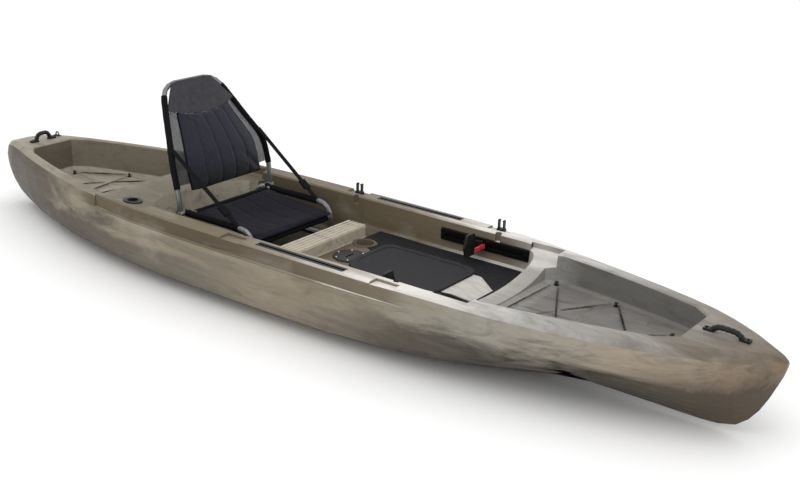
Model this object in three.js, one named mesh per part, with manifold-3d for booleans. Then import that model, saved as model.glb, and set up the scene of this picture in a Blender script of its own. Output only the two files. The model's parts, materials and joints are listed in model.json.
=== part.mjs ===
// A sit-on-top fishing kayak with a frame seat, sliding foot braces, a console hatch and deck rigging.
// Millimetres. +X points to the bow, +Y to port, +Z up. The origin is on the floor under mid-length.

import * as THREE from 'three';
import { mergeVertices } from 'three/addons/utils/BufferGeometryUtils.js';
import Module from 'manifold-3d';

const wasm = await Module();
wasm.setup();

// General clearances

const seatGap = 0.3;
const overrun = 20;
const mergeTolerance = 1e-4;
const mitreLeastShare = 0.4;

// Hull

const hullLength = 3660;
const hullBeam = 788;
const hullDepth = 316;
const hullWall = 5;
const halfLength = hullLength / 2;
const halfBeam = hullBeam / 2;

// Half beam along the hull: place as a share of the half length, then width as a share of the half beam.
const planShares = [
  [-1, 0.035], [-0.992, 0.08], [-0.978, 0.13], [-0.94, 0.225], [-0.866, 0.365], [-0.795, 0.495],
  [-0.71, 0.622],
  [-0.6, 0.765], [-0.545, 0.82], [-0.455, 0.895], [-0.366, 0.954], [-0.27, 0.985], [-0.13, 1], [0.05, 1],
  [0.2, 0.99], [0.3, 0.97], [0.41, 0.926], [0.545, 0.84], [0.656, 0.74], [0.75, 0.632], [0.836, 0.505],
  [0.88, 0.41], [0.929, 0.278], [0.951, 0.205], [0.978, 0.118], [0.992, 0.07], [1, 0.03],
];

// Height of the keel line, as a share of the hull depth.
const keelShares = [
  [-1, 0.7], [-0.998, 0.55], [-0.99, 0.41], [-0.977, 0.28], [-0.945, 0.12], [-0.9, 0.035], [-0.82, 0],
  [0.48, 0], [0.546, 0.02], [0.6, 0.05], [0.656, 0.07], [0.72, 0.064], [0.8, 0.058], [0.87, 0.05],
  [0.905, 0.062], [0.927, 0.095], [0.951, 0.205], [0.965, 0.32], [0.978, 0.47],
  [0.991, 0.66], [0.997, 0.75], [1, 0.82],
];

// Height of the deck edge, as a share of the hull depth.
const sheerShares = [
  [-1, 0.8], [-0.99, 0.85], [-0.97, 0.905], [-0.94, 0.955], [-0.9, 0.985], [-0.85, 1], [0.6, 1],
  [0.8, 0.998], [0.9, 0.982], [0.95, 0.968], [0.98, 0.95], [0.992, 0.925], [1, 0.89],
];

// Control points of the bottom curve: out as a share of the half beam, up as a share of the side height.
const bottomShares = [
  [-1, 0.45, 0.15, 0.95, 0.45], [-0.9, 0.55, 0.08, 0.97, 0.4], [-0.8, 0.72, 0.03, 0.97, 0.32],
  [-0.6, 0.88, 0, 0.96, 0.24], [-0.3, 0.95, 0, 0.93, 0.23], [0.1, 0.95, 0, 0.92, 0.23],
  [0.33, 0.85, 0.05, 0.95, 0.3], [0.44, 0.75, 0.1, 0.96, 0.38], [0.55, 0.62, 0.2, 0.96, 0.45],
  [0.66, 0.5, 0.3, 0.95, 0.5], [0.77, 0.42, 0.3, 0.9, 0.55], [0.88, 0.35, 0.3, 0.85, 0.6],
  [1, 0.3, 0.3, 0.8, 0.6],
];

const stationShares = [
  -1, -0.997, -0.99, -0.978, -0.96, -0.935, -0.9, -0.86, -0.81, -0.75, -0.69, -0.62, -0.55, -0.5,
  -0.38, -0.3, -0.2, -0.08, 0.05, 0.18, 0.28, 0.38, 0.46, 0.54, 0.6, 0.66, 0.72, 0.78, 0.83,
  0.87, 0.9, 0.93, 0.95, 0.965, 0.978, 0.989, 0.996, 1,
];
const bottomSteps = 8;
const innerBottomSteps = 7;
const innerEndGap = 60;
// Half width of the level keel strip, as a share of the half beam there.
const keelFlatShares = [[-1, 0.12], [0.4, 0.12], [0.62, 0.04], [1, 0.04]];

// Side band under the gunwale: recessed forward of the band step, a wide bevel aft of it.
const bandDrop = 58;
const bandLedge = 4;
const bandRecess = 7;
const bandStepX = -830;
const bandStepLength = 2;
const gunwaleEdge = 6;
const aftBevelWidth = 26;
const aftBevelDrop = 52;
const bowBevelWidth = 32;
const bowBevelDrop = 30;
const bevelBulgeShare = 0.18;
const bevelMostShare = 0.55;
// How much of the recess is left, and how much of the bow bevel is there.
const recessFadeShares = [[0, 1], [0.14, 1], [0.36, 0], [1, 0]];
const bowBevelShares = [[0, 0], [0.3, 0], [0.6, 0.8], [0.8, 1], [1, 1]];

// Gunwale widths beside the wells; beside the rear deck a table of place and width
const cockpitGunwale = 78;
const deckGunwaleWidths = [[-1065, 36], [-830, 33], [-700, 25], [-560, 25]];
const tankGunwale = 44;
const bowGunwale = 68;

// Wells
const lipRadius = 6;
const floorFillet = 14;
const cockpitFillet = 10;
const wallDraft = 8;
const tankFloor = 175;
const tankSetback = 305;
const tankRearX = tankSetback - halfLength;
const tankRearHalfWidth = 101;
const tankFrontX = -1065;
const postRadius = 18;
const rampFootX = -1040;
const rampTopX = -905;
const rearDeckHeight = 272;
const deckNarrowX = -560;
const seatWellFloor = 145;
const seatWellRearX = -712;
const seatWellFrontX = -4;
const archSideX = -480;
const archPower = 2.1;
const archSteps = 10;
const footFloor = 200;
const footFrontX = 808;
const cockpitWallInset = 84;
const cockpitWallY = halfBeam - cockpitWallInset;
const railWallStartX = 370;
const footCornerRadius = 70;
const bowWellRearX = 862;
const bowWellSetback = 303;
const bowWellFrontX = halfLength - bowWellSetback;
const bowWellFrontHalfWidth = 103;
const bowWellRearFloor = 208;
const bowWellFrontFloor = 226;
const bowCorner = 60;
const saddleHalfWidth = cockpitWallY + wallDraft;
const saddleLow = 222;
const saddleRise = 74;
const saddlePower = 2.4;
const saddleSteps = 8;
const wellStep = 120;
// Low ribs on the well floors: start and end as shares of the well, place across as a share of the half beam
const bowRibShares = [[0.042, 0.403, 0], [0.117, 0.704, 0.3], [0.117, 0.704, -0.3]];
const tankRibShares = [[0.163, 0.902, 0.178], [0.163, 0.902, -0.178]];
const ribWidth = 14;
const ribRise = 4;
const ribTopShare = 0.6;

// Ridged seat block between the seat well and the footwell
const ridgeFrontX = 85;
const ridgeHalfWidth = 212;
const ridgeTop = 250;
const ridgeDepth = 7;
const ridgeCount = 5;
const ridgeTopShare = 0.55;
const ridgeEndShare = 0.94;

// Console between the paddler's feet, and its hatch
const consoleRearX = 250;
const consoleFrontX = 653;
const consoleHalfWidth = 140;
const consoleTop = 223;
const consoleNoseX = 704;
const consoleNoseHalfWidth = 104;
const consoleFootX = 774;
const consoleFootHalfWidth = 66;
const consoleFlare = 6;
const consoleCorner = 40;
// The aft starboard and the front port corner are rounder than the other two.
const consoleAftCorner = 100;
const consoleFrontCorner = 60;
const noseCorner = 26;
const hatchMargin = 34;
const hatchCorner = 30;

// Lid of the console
const lidOverhang = 7;
const lidThickness = 8;
const lidEdge = 3;
const lidFlangeDepth = 7;
const lidFlangeGap = 3;
const lidFlangeWall = 5;
const lidPanelMargin = 16;
const lidPanelDepth = 1.5;

// Lid hinge on the port side of the console
const hingeBarrelRadius = 3.4;
const hingePinRadius = 1.3;
const hingeHoleRadius = 1.7;
const hingeKnuckleCount = 5;
const hingeLength = 240;
const hingeGap = 0.8;
const hingeLeaf = 3;
const hingeLeafDepth = 15;

// Cup holder in the footwell floor, to port
const cupX = 132;
const cupY = 147;
const cupRadius = 38;
const cupRimWidth = 7;
const cupRimHeight = 5;
const cupDepth = 88;
const cupTaper = 4;
const cupSides = 16;

// Round accessory plate behind the console
const plateX = 176;
const plateRadius = 64;
const plateThickness = 5;
const plateSlotLength = 44;
const plateSlotWidth = 9;
const plateScrewCount = 6;
const plateScrewRingShare = 0.84;
const plateSides = 24;

// Screws with round heads
const screwHeadRadius = 4.5;
const screwHeadHeight = 2.6;
const screwShankRadius = 2;
const screwShankLength = 14;
const screwHoleRadius = 2.5;
const screwCrownShare = 0.6;
const screwSides = 8;

// Floor mat of ridged foam
const matThickness = 4;
const matMargin = 6;
const matRearX = 96;
const matInnerX = 196;
const matInnerHalfWidth = 104;
const matRearRise = 44;
const matConsoleGap = 4;

// Gear tracks let into the gunwales
const trackLength = 396;
const trackX = 238;
const trackInset = 42;
const trackY = halfBeam - trackInset;
const trackWidth = 34;
const trackHeight = 12;
const trackSlotWidth = 10;
const trackSlotInner = 20;
const trackLip = 3;
const trackBase = 3;

// Paddle clips on the port gunwale, and the notches on both sides
const clipXs = [-66, 606];
const notchLength = 96;
const notchWidth = 56;
const notchInnerY = halfBeam - notchWidth;
const notchDepth = 9;
const notchGrooveRadius = 13;
const notchGrooveDepth = 34;
const notchGrooveShift = 18;
const notchGrooveInset = 80;
const notchGrooveY = halfBeam - notchGrooveInset;
const clipInset = 32;
const clipY = halfBeam - clipInset;
const clipBaseLength = 30;
const clipBaseWidth = 22;
const clipBaseHeight = 10;
const clipProngThickness = 5;
const clipProngWidth = 13;
const clipProngHeight = 44;
const clipGap = 17;
const clipHook = 3;

// Flush rod holders in the rear deck
const rodX = -742;
const rodY = 234;
const rodTiltShare = 0.17;
const rodBore = 22;
const rodWall = 3;
const rodTubeDepth = 150;
const rodFlangeLength = 46;
const rodFlangeWidth = 33;
const rodFlangeThickness = 5;
const rodBottom = 6;
const rodSides = 18;

// Foot rails and pedals on the cockpit walls
const railX = 571;
const railLength = 384;
const railHeight = 42;
const railDepth = 12;
const railZ = 261;
const railSlotHeight = 16;
const railOpening = 12;
const railLip = 3;
const railSeatGap = 2;
const railCapRadius = 6;
const railSlotDepth = 6;
const railEndPost = 22;
const railToothPitch = 20;
const railToothLength = 6;
const railToothDepth = 3;
const pedalX = 540;
const pedalWidth = 78;
const pedalThickness = 9;
const pedalLow = 222;
const pedalHigh = 308;
const pedalCarriageLength = 58;
const pedalCarriageDepth = 14;
const pedalCarriageHeight = 30;
const pedalShoeLength = 44;
const pedalClear = 0.6;
const pedalOverlap = 8;
const pedalLowWidthShare = 0.7;
const pedalCorner = 8;
const pedalTopCorner = 14;
const pedalTopWidthShare = 0.62;
const leverLength = 56;
const leverHeight = 15;
const leverThickness = 9;
const leverPivotRadius = 2.6;
const leverPivotHole = 3.2;
const leverEyeRadius = 6.5;
const leverRaise = 6;
const leverEarThickness = 4;
const leverTipRadius = 2;
const leverArmShare = 0.6;
const leverGap = 1.2;
const leverRailGap = 4.5;

// Carry handles
const handleGripRadius = 10;
const handleRibDepth = 1.6;
const handleRibCount = 9;
const bowHandleSetback = 194;
const bowHandleX = halfLength - bowHandleSetback;
const bowHandleSpan = 150;
const bowHandleRise = 20;
const sternHandleSetback = 238;
const sternHandleX = sternHandleSetback - halfLength;
const sternHandleSpan = 128;
const sternHandleRise = 34;
const handleFootLength = 34;
const handleFootWidth = 22;
const handleFootHeight = 8;
const handleSides = 8;
const gripFootShare = 0.75;
const screwFootShare = 0.25;
const gripPower = 4;
const bowHandle = { x: bowHandleX, span: bowHandleSpan, rise: bowHandleRise, across: false };
const sternHandle = { x: sternHandleX, span: sternHandleSpan, rise: sternHandleRise, across: true };

// Pad eye on the port quarter
const padEyeSetback = 218;
const padEyeX = padEyeSetback - halfLength;
const padEyeBeamShare = 0.241;
const padEyeY = halfBeam * padEyeBeamShare;
const padEyeLength = 34;
const padEyeWidth = 16;
const padEyeHeight = 4;
const padEyeWire = 3;
const padEyeRise = 17;
const padEyeSteps = 8;

// Deck buttons that the bungees turn round, and the bungees
const buttonFootRadius = 9;
const buttonFootHeight = 3;
const buttonPostRadius = 3.5;
const buttonPostHeight = 9;
const buttonCapRadius = 8;
const buttonCapHeight = 3;
const bungeeRadius = 2.6;
const bungeeSides = 6;
const bungeeTurnSteps = 4;
const bungeeClear = 0.5;
const bungeeKnotShare = 1.5;
const bungeeHeight = 8;
const buttonSides = 8;
// Deck buttons: share along the well, then share of the way out to its edge there
const bowAnchorShares = [
  [0.443, -0.862], [0.083, 0.876], [0.057, -0.826], [0.472, 0.832], [0.696, -0.104], [0.869, 0.376],
];
const sternAnchorShares = [[0.163, 0.327], [0.62, 0.841], [0.783, -0.838], [0.972, 0.783], [0.359, -0.799]];
// Where one run of a bungee rises over another: the run, the share along it and how far it rises
const bowRise = { from: 2, share: 0.553, lift: 6.5 };
const sternRise = { from: 3, share: 0.4745, lift: 6.5 };

// Drain plug in the stern
const drainZ = 214;
const drainCapRadius = 15;
const drainCapLength = 7;
const drainShankRadius = 9;
const drainShankLength = 16;
const drainHoleRadius = 9.6;
const drainSetback = 270;
const drainX = drainSetback - halfLength;
const drainLobeCount = 6;
const drainLobeShare = 0.86;
const drainSink = 22;
const drainPocketGap = 2;

// Seat base: two tube hoops, two cross tubes and a sling
const hoopTube = 10.5;
const hoopY = 226;
const hoopFrontX = -103;
const hoopRearX = -500;
const hoopTopZ = 288;
const hoopLowZ = seatWellFloor + hoopTube + seatGap;
const bendSteps = 4;
const hoopFrontRadius = 58;
const hoopRearRadius = 42;
const tubeSides = 8;
const crossTube = 9;
const crossRearX = -425;
const crossFrontZ = 236;
const crossSinkShare = 0.5;
const slingThickness = 12;
const slingFrontX = -92;
const slingRearX = crossRearX + crossTube + seatGap;
const slingFrontZ = 262;
const slingRearZ = hoopTopZ + slingThickness / 2;
const slingHalfWidth = 212;
const slingSag = 20;
const slingEdgeShare = 0.4;
const slingNoseShare = 0.25;
const slingSteps = 9;
const slingPlainSteps = 8;
const slingSeamShares = [0.2, 0.4, 0.6, 0.8];
const slingSeamDepth = 3;
const slingSeamWidthShare = 0.035;

// Seat back: a bent tube frame, a sheet with mesh sides, a channelled pad and a yoke
const backTube = 10;
const pivotX = -452;
const pivotY = 254;
const pivotZ = 290;
const pivotBoltRadius = 4;
const pivotHoleRadius = 4.6;
const pivotEarRadius = 14;
const pivotHead = 4;
const pivotHeadRadius = 8;
const pivotHeadSides = 6;
// Half of the back frame, from the foot up: places of the tube's centre at rest.
const backFramePoints = [
  [-452, 254, 304], [-456, 254, 340], [-463, 255, 385], [-474, 255, 425], [-484, 253, 462],
  [-499, 246, 500], [-524, 228, 540], [-551, 209, 580], [-578, 191, 622], [-605, 172, 664],
  [-627, 155, 699], [-639, 137, 719], [-647, 111, 732], [-651, 78, 738],
];
const frameTopZ = backFramePoints[backFramePoints.length - 1][2];
const backSheetLowZ = 388;
const backSheetHighZ = 676;
const backSheetThickness = 3;
const backBulge = 10;
const backSheetMargin = 0.5;
const backSheetRows = 8;
const backSheetColumns = 6;
const padLowZ = 368;
const padHighZ = 668;
const padThickness = 22;
const padWaistShare = 0.78;
const padSeamShares = [0.2, 0.4, 0.6, 0.8];
const padRows = 7;
const padRowEnd = 0.05;
const padEdgeShare = 0.45;
const padPlainSteps = 8;
const padChannelDepth = 5;
const padChannelWidthShare = 0.035;
const padSheetGap = 0.5;
const yokeLowZ = 626;
const yokeThickness = 7;
const yokeDip = 26;
const yokeDipReach = 172;
const yokeHalfWidth = 172;
const yokeTopHalfWidth = 92;
const yokeShoulderHalfWidth = 146;
const yokeShoulderZ = 690;
const yokeTopMargin = 9;
const yokeSteps = 10;

// Straps that stop the seat back
const strapWidth = 20;
const strapThickness = 2.4;
// The point of the back frame below each strap's upper sleeve
const strapTubeIndex = 5;
const strapLowX = -186;
const strapSleeve = 1.6;
const buckleLength = 44;
const buckleWidth = 32;
const buckleThickness = 8;
const buckleAlongShare = 0.82;

// Shapes and solids

function vec(x, y, z) {
  return new THREE.Vector3(x, y, z);
}

// A smooth curve through a table of shares that never overshoots its points.
function curveOf(table, column = 1) {
  const xs = table.map((row) => row[0]);
  const ys = table.map((row) => row[column]);
  const steps = xs.slice(1).map((x, i) => (ys[i + 1] - ys[i]) / (x - xs[i]));
  const slopes = xs.map((_, i) => {
    const before = steps[Math.max(i - 1, 0)];
    const after = steps[Math.min(i, steps.length - 1)];
    return before * after <= 0 ? 0 : (2 * before * after) / (before + after);
  });
  return (share) => {
    const s = Math.min(Math.max(share, xs[0]), xs[xs.length - 1]);
    const i = Math.min(Math.max(xs.findIndex((x) => x >= s) - 1, 0), xs.length - 2);
    const run = xs[i + 1] - xs[i];
    const t = (s - xs[i]) / run;
    const rest = 1 - t;
    return ys[i] * rest * rest * (1 + 2 * t) + ys[i + 1] * t * t * (3 - 2 * t)
      + run * t * rest * (slopes[i] * rest - slopes[i + 1] * t);
  };
}

function signedVolume(positions, index) {
  const corner = (i) => vec(positions[3 * i], positions[3 * i + 1], positions[3 * i + 2]);
  let volume = 0;
  for (let i = 0; i < index.length; i += 3) {
    volume += corner(index[i]).dot(corner(index[i + 1]).cross(corner(index[i + 2]))) / 6;
  }
  return volume;
}

function geometryOf(positions, index) {
  const geometry = new THREE.BufferGeometry();
  geometry.setAttribute('position', new THREE.BufferAttribute(Float32Array.from(positions), 3));
  geometry.setIndex(index);
  return geometry;
}

// A closed solid: points merged, flat triangles left out and the surface turned outwards.
function solidOf(source) {
  const plain = source.clone();
  plain.deleteAttribute('normal');
  plain.deleteAttribute('uv');
  const merged = mergeVertices(plain, mergeTolerance);
  const positions = merged.attributes.position.array;
  const all = merged.index.array;
  const turn = signedVolume(positions, all) < 0;
  const order = [];
  for (let i = 0; i < all.length; i += 3) {
    const [a, b, c] = [all[i], all[i + 1], all[i + 2]];
    if (a !== b && b !== c && c !== a) {
      order.push(a, turn ? c : b, turn ? b : c);
    }
  }
  return new wasm.Manifold(new wasm.Mesh({
    numProp: 3,
    vertProperties: Float32Array.from(positions),
    triVerts: Uint32Array.from(order),
  }));
}

// The same solid, moved or mirrored.
function placed(solid, matrix) {
  const { vertProperties, triVerts } = solid.getMesh();
  return solidOf(geometryOf(vertProperties, [...triVerts]).applyMatrix4(matrix));
}

function unionOf(solids) {
  return solids.reduce((sum, solid) => sum.add(solid));
}

// Skins rings of equal length and closes both ends. The drawing turns a point into the caps' flat picture.
function loft(rings, drawing) {
  const count = rings[0].length;
  const positions = rings.flat().flatMap((p) => [p.x, p.y, p.z]);
  const index = [];
  for (let r = 0; r + 1 < rings.length; r += 1) {
    for (let i = 0; i < count; i += 1) {
      const a = r * count + i;
      const b = r * count + ((i + 1) % count);
      index.push(a, b, b + count, a, b + count, a + count);
    }
  }
  const last = (rings.length - 1) * count;
  for (const [a, b, c] of capFaces(rings[0].map(drawing))) {
    index.push(a, c, b);
  }
  for (const [a, b, c] of capFaces(rings[rings.length - 1].map(drawing))) {
    index.push(last + a, last + b, last + c);
  }
  return geometryOf(positions, index);
}

// Triangles of a flat outline, turned the way that the outline runs.
function capFaces(outline) {
  const turn = THREE.ShapeUtils.isClockWise(outline);
  return THREE.ShapeUtils.triangulateShape(outline, []).map(([a, b, c]) => {
    const same = THREE.ShapeUtils.isClockWise([outline[a], outline[b], outline[c]]) === turn;
    return same ? [a, b, c] : [a, c, b];
  });
}

const onPlan = (p) => new THREE.Vector2(p.x, p.y);
const onSection = (p) => new THREE.Vector2(p.y, p.z);
const onSide = (p) => new THREE.Vector2(p.x, p.z);

function loftSolid(rings, drawing) {
  return solidOf(loft(rings, drawing));
}

function prism(outline, low, high) {
  return loftSolid([low, high].map((z) => outline.map(([x, y]) => vec(x, y, z))), onPlan);
}

// A side drawing of x and z, drawn out between two values of y.
function barAcross(outline, start, end) {
  return loftSolid([start, end].map((y) => outline.map(([x, z]) => vec(x, y, z))), onSide);
}

// A section of y and z, drawn out between two values of x.
function barAlong(outline, start, end) {
  return loftSolid([start, end].map((x) => outline.map(([y, z]) => vec(x, y, z))), onSection);
}

function block([lowX, highX], [lowY, highY], [lowZ, highZ]) {
  const box = new THREE.BoxGeometry(highX - lowX, highY - lowY, highZ - lowZ);
  box.translate((lowX + highX) / 2, (lowY + highY) / 2, (lowZ + highZ) / 2);
  return solidOf(box);
}

// A rod between two points.
function rod(start, end, radius, sides = tubeSides, endRadius = radius) {
  const along = end.clone().sub(start);
  const cylinder = new THREE.CylinderGeometry(endRadius, radius, along.length(), sides);
  cylinder.translate(0, along.length() / 2, 0);
  cylinder.applyQuaternion(new THREE.Quaternion().setFromUnitVectors(vec(0, 1, 0),
    along.clone().normalize()));
  cylinder.translate(start.x, start.y, start.z);
  return solidOf(cylinder);
}

// A path that passes straight from point to point.
class Route extends THREE.Curve {
  constructor(points) {
    super();
    this.points = points;
  }

  getPoint(t) {
    const place = t * (this.points.length - 1);
    const i = Math.min(Math.floor(place), this.points.length - 2);
    return this.points[i].clone().lerp(this.points[i + 1], place - i);
  }

  getPointAt(u) {
    return this.getPoint(u);
  }

  getTangentAt(u) {
    const i = Math.round(u * (this.points.length - 1));
    const ways = [[i - 1, i], [i, i + 1]].filter(([a, b]) => a >= 0 && b < this.points.length)
      .map(([a, b]) => this.points[b].clone().sub(this.points[a]).normalize());
    return ways.reduce((sum, way) => sum.add(way)).normalize();
  }
}

// A path with its corners rounded.
function bent(points, radius) {
  return points.flatMap((point, i) => {
    if (i === 0 || i === points.length - 1) {
      return [point];
    }
    const back = points[i - 1].clone().sub(point).normalize();
    const ahead = points[i + 1].clone().sub(point).normalize();
    const bend = Math.acos(back.dot(ahead)) / 2;
    const reach = radius / Math.tan(bend);
    const centre = point.clone().addScaledVector(back.clone().add(ahead).normalize(),
      radius / Math.sin(bend));
    const start = point.clone().addScaledVector(back, reach).sub(centre);
    const end = point.clone().addScaledVector(ahead, reach).sub(centre);
    const angle = start.angleTo(end);
    return Array.from({ length: bendSteps + 1 }, (_, k) => {
      const t = k / bendSteps;
      const near = Math.sin((1 - t) * angle) / Math.sin(angle);
      const far = Math.sin(t * angle) / Math.sin(angle);
      return centre.clone().addScaledVector(start, near).addScaledVector(end, far);
    });
  });
}

// A round bar along a path.
function tube(points, radius, sides = tubeSides) {
  const shape = new THREE.Shape(Array.from({ length: sides }, (_, i) => {
    const angle = (2 * Math.PI * i) / sides;
    return new THREE.Vector2(radius * Math.cos(angle), radius * Math.sin(angle));
  }));
  const steps = points.length - 1;
  return solidOf(new THREE.ExtrudeGeometry(shape, { steps, extrudePath: new Route(points) }));
}

// An outline turned about a vertical line: its points are radius and height.
function turned(profile, sides, x, y, z) {
  const lathe = new THREE.LatheGeometry(profile.map(([r, h]) => new THREE.Vector2(r, h)), sides);
  lathe.rotateX(Math.PI / 2);
  lathe.translate(x, y, z);
  return solidOf(lathe);
}

function ring(x, y, radius, sides) {
  return Array.from({ length: sides }, (_, i) => {
    const angle = (2 * Math.PI * i) / sides;
    return [x + radius * Math.cos(angle), y + radius * Math.sin(angle)];
  });
}

// A rounded outline: each corner is x, y and its radius.
function rounded(corners, arcSteps = 4) {
  const points = [];
  corners.forEach(([x, y, radius], i) => {
    const before = corners[(i + corners.length - 1) % corners.length];
    const after = corners[(i + 1) % corners.length];
    const here = new THREE.Vector2(x, y);
    const back = new THREE.Vector2(before[0] - x, before[1] - y).normalize();
    const ahead = new THREE.Vector2(after[0] - x, after[1] - y).normalize();
    if (radius === 0) {
      points.push([x, y]);
      return;
    }
    const halfAngle = Math.acos(Math.min(Math.max(back.dot(ahead), -1), 1)) / 2;
    const reach = radius / Math.tan(halfAngle);
    const start = here.clone().addScaledVector(back, reach);
    const end = here.clone().addScaledVector(ahead, reach);
    const curve = new THREE.QuadraticBezierCurve(start, here, end);
    curve.getPoints(arcSteps).forEach((p) => points.push([p.x, p.y]));
  });
  return points;
}

// Moves an outline inwards by a distance, corner by corner; a negative distance moves it outwards.
function inset(outline, distance) {
  const area = outline.reduce((sum, [x, y], i) => {
    const [nextX, nextY] = outline[(i + 1) % outline.length];
    return sum + (x * nextY - nextX * y) / 2;
  }, 0);
  const side = Math.sign(area);
  return outline.map(([x, y], i) => {
    const before = outline[(i + outline.length - 1) % outline.length];
    const after = outline[(i + 1) % outline.length];
    const normalIn = new THREE.Vector2(-(y - before[1]), x - before[0]).normalize();
    const normalOut = new THREE.Vector2(-(after[1] - y), after[0] - x).normalize();
    const middle = normalIn.clone().add(normalOut).normalize();
    const reach = (side * distance) / Math.max(middle.dot(normalIn), mitreLeastShare);
    return [x + middle.x * reach, y + middle.y * reach];
  });
}

function mirrored(half) {
  return [...half, ...half.map(([x, y]) => [x, -y]).reverse()];
}

// Hull surfaces

const planShare = curveOf(planShares);
const keelShare = curveOf(keelShares);
const sheerShare = curveOf(sheerShares);
const bottomControls = [1, 2, 3, 4].map((column) => curveOf(bottomShares, column));
const keelFlat = curveOf(keelFlatShares);
const recessFade = curveOf(recessFadeShares);
const bowBevel = curveOf(bowBevelShares);

const halfBeamAt = (x) => halfBeam * planShare(x / halfLength);
const keelAt = (x) => hullDepth * keelShare(x / halfLength);
const sheerAt = (x) => hullDepth * sheerShare(x / halfLength);
const drainSeatY = halfBeamAt(drainX) - drainSink;

// Places in a well, from shares along it and out to its edge.
function inWell(spots, rearX, frontX, gunwale) {
  return spots.map(([along, across]) => {
    const x = rearX + (frontX - rearX) * along;
    return [x, (halfBeamAt(x) - gunwale) * across];
  });
}

const bowAnchors = inWell(bowAnchorShares, bowWellRearX, bowWellFrontX, bowGunwale);
const sternAnchors = inWell(sternAnchorShares, tankRearX, tankFrontX, tankGunwale);

// Half a section of the hull, from the keel round to the deck edge, moved in by a wall.
function halfSection(x, wall, inner) {
  const share = x / halfLength;
  const half = halfBeamAt(x) - wall;
  const keel = keelAt(x) + wall;
  const top = sheerAt(x) - wall;
  const fit = Math.min(1, (top - keel) / (2 * bandDrop));
  const sideTop = top - bandDrop * fit;
  const [outNear, upNear, outFar, upFar] = bottomControls.map((control) => control(share));
  const flat = half * keelFlat(share);
  const side = sideTop - keel;
  const curve = new THREE.CubicBezierCurve(
    new THREE.Vector2(flat, keel),
    new THREE.Vector2(half * outNear, keel + side * upNear),
    new THREE.Vector2(half * outFar, keel + side * upFar),
    new THREE.Vector2(half, sideTop),
  );
  const aft = x < bandStepX;
  const recess = inner ? bandRecess * fit : aft ? 0 : bandRecess * fit * recessFade(Math.max(share, 0));
  const bow = bowBevel(Math.max(share, 0));
  const width = inner || aft ? aftBevelWidth : gunwaleEdge + (bowBevelWidth - gunwaleEdge) * bow;
  const drop = inner || aft ? aftBevelDrop : gunwaleEdge + (bowBevelDrop - gunwaleEdge) * bow;
  const ledge = [half - recess, sideTop + bandLedge * fit];
  const bevelLow = [half - recess, top - drop * fit];
  const bevelHigh = [half - recess - Math.min(width, half * bevelMostShare), top];
  const bulge = [
    (bevelLow[0] + bevelHigh[0]) / 2 + (bevelLow[0] - bevelHigh[0]) * bevelBulgeShare,
    (bevelLow[1] + bevelHigh[1]) / 2 + (bevelHigh[1] - bevelLow[1]) * bevelBulgeShare,
  ];
  const steps = inner ? innerBottomSteps : bottomSteps;
  return [[0, keel], ...curve.getPoints(steps).map((p) => [p.x, p.y]), ledge, bevelLow, bulge, bevelHigh];
}

function hullRing(x, wall, inner) {
  const half = halfSection(x, wall, inner);
  const port = half.slice(1);
  return [half[0], ...port, ...port.map(([y, z]) => [-y, z]).reverse()].map(([y, z]) => vec(x, y, z));
}

function outerHull() {
  const stations = [...stationShares.map((share) => share * halfLength), bandStepX - bandStepLength,
    bandStepX];
  return loftSolid(stations.sort((a, b) => a - b).map((x) => hullRing(x, 0, false)), onSection);
}

function innerHull() {
  const ends = halfLength - innerEndGap;
  const stations = [-ends, ...stationShares
    .filter((s, i) => i % 2 === 0 && Math.abs(s) * halfLength < ends - overrun)
    .map((s) => s * halfLength), ends];
  return loftSolid(stations.map((x) => hullRing(x, hullWall, true)), onSection);
}

// Wells in the deck. Each takes a growth, which is 0 for the well and the wall for the skin round it.

function well(outline, floorAt, fillet, draft, grow) {
  const level = (distance, zAt) => inset(outline, distance - grow).map(([x, y]) => vec(x, y, zAt(x)));
  return loftSolid([
    level(draft + fillet, (x) => floorAt(x) - grow),
    level(draft, (x) => floorAt(x) + fillet - grow),
    level(0, (x) => sheerAt(x) - lipRadius),
    level(-lipRadius, (x) => sheerAt(x) + mergeTolerance),
    level(-lipRadius, (x) => sheerAt(x) + overrun),
  ], onPlan);
}

function edgePoints(startX, endX, gunwaleAt) {
  const steps = Math.max(1, Math.round(Math.abs(endX - startX) / wellStep));
  return Array.from({ length: steps + 1 }, (_, i) => {
    const x = startX + ((endX - startX) * i) / steps;
    return [x, halfBeamAt(x) - gunwaleAt(x)];
  });
}

const cockpitEdge = () => cockpitGunwale;
const deckEdge = curveOf(deckGunwaleWidths);

function tankWell(grow) {
  const half = [[tankRearX, tankRearHalfWidth],
    ...edgePoints(tankRearX + wellStep / 2, rampFootX, () => tankGunwale)];
  return well(mirrored(half), () => tankFloor, floorFillet, wallDraft, grow);
}

function rearRamp(grow) {
  const half = halfBeamAt(rampFootX) - tankGunwale - wallDraft - floorFillet + grow;
  const back = rampFootX - floorFillet;
  return barAcross([
    [back, tankFloor - grow], [rampFootX, tankFloor - grow], [rampTopX + grow, rearDeckHeight - grow],
    [rampTopX + grow, rearDeckHeight + floorFillet], [back, rearDeckHeight + floorFillet],
  ], -half, half);
}

function rearDeck(grow) {
  const half = [
    ...edgePoints(tankFrontX + postRadius, deckNarrowX, deckEdge),
    ...edgePoints(deckNarrowX + postRadius, archSideX, cockpitEdge),
  ];
  half.unshift([tankFrontX, half[0][1] - postRadius]);
  return well(mirrored(half), () => rearDeckHeight, cockpitFillet, wallDraft / 2, grow);
}

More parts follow.
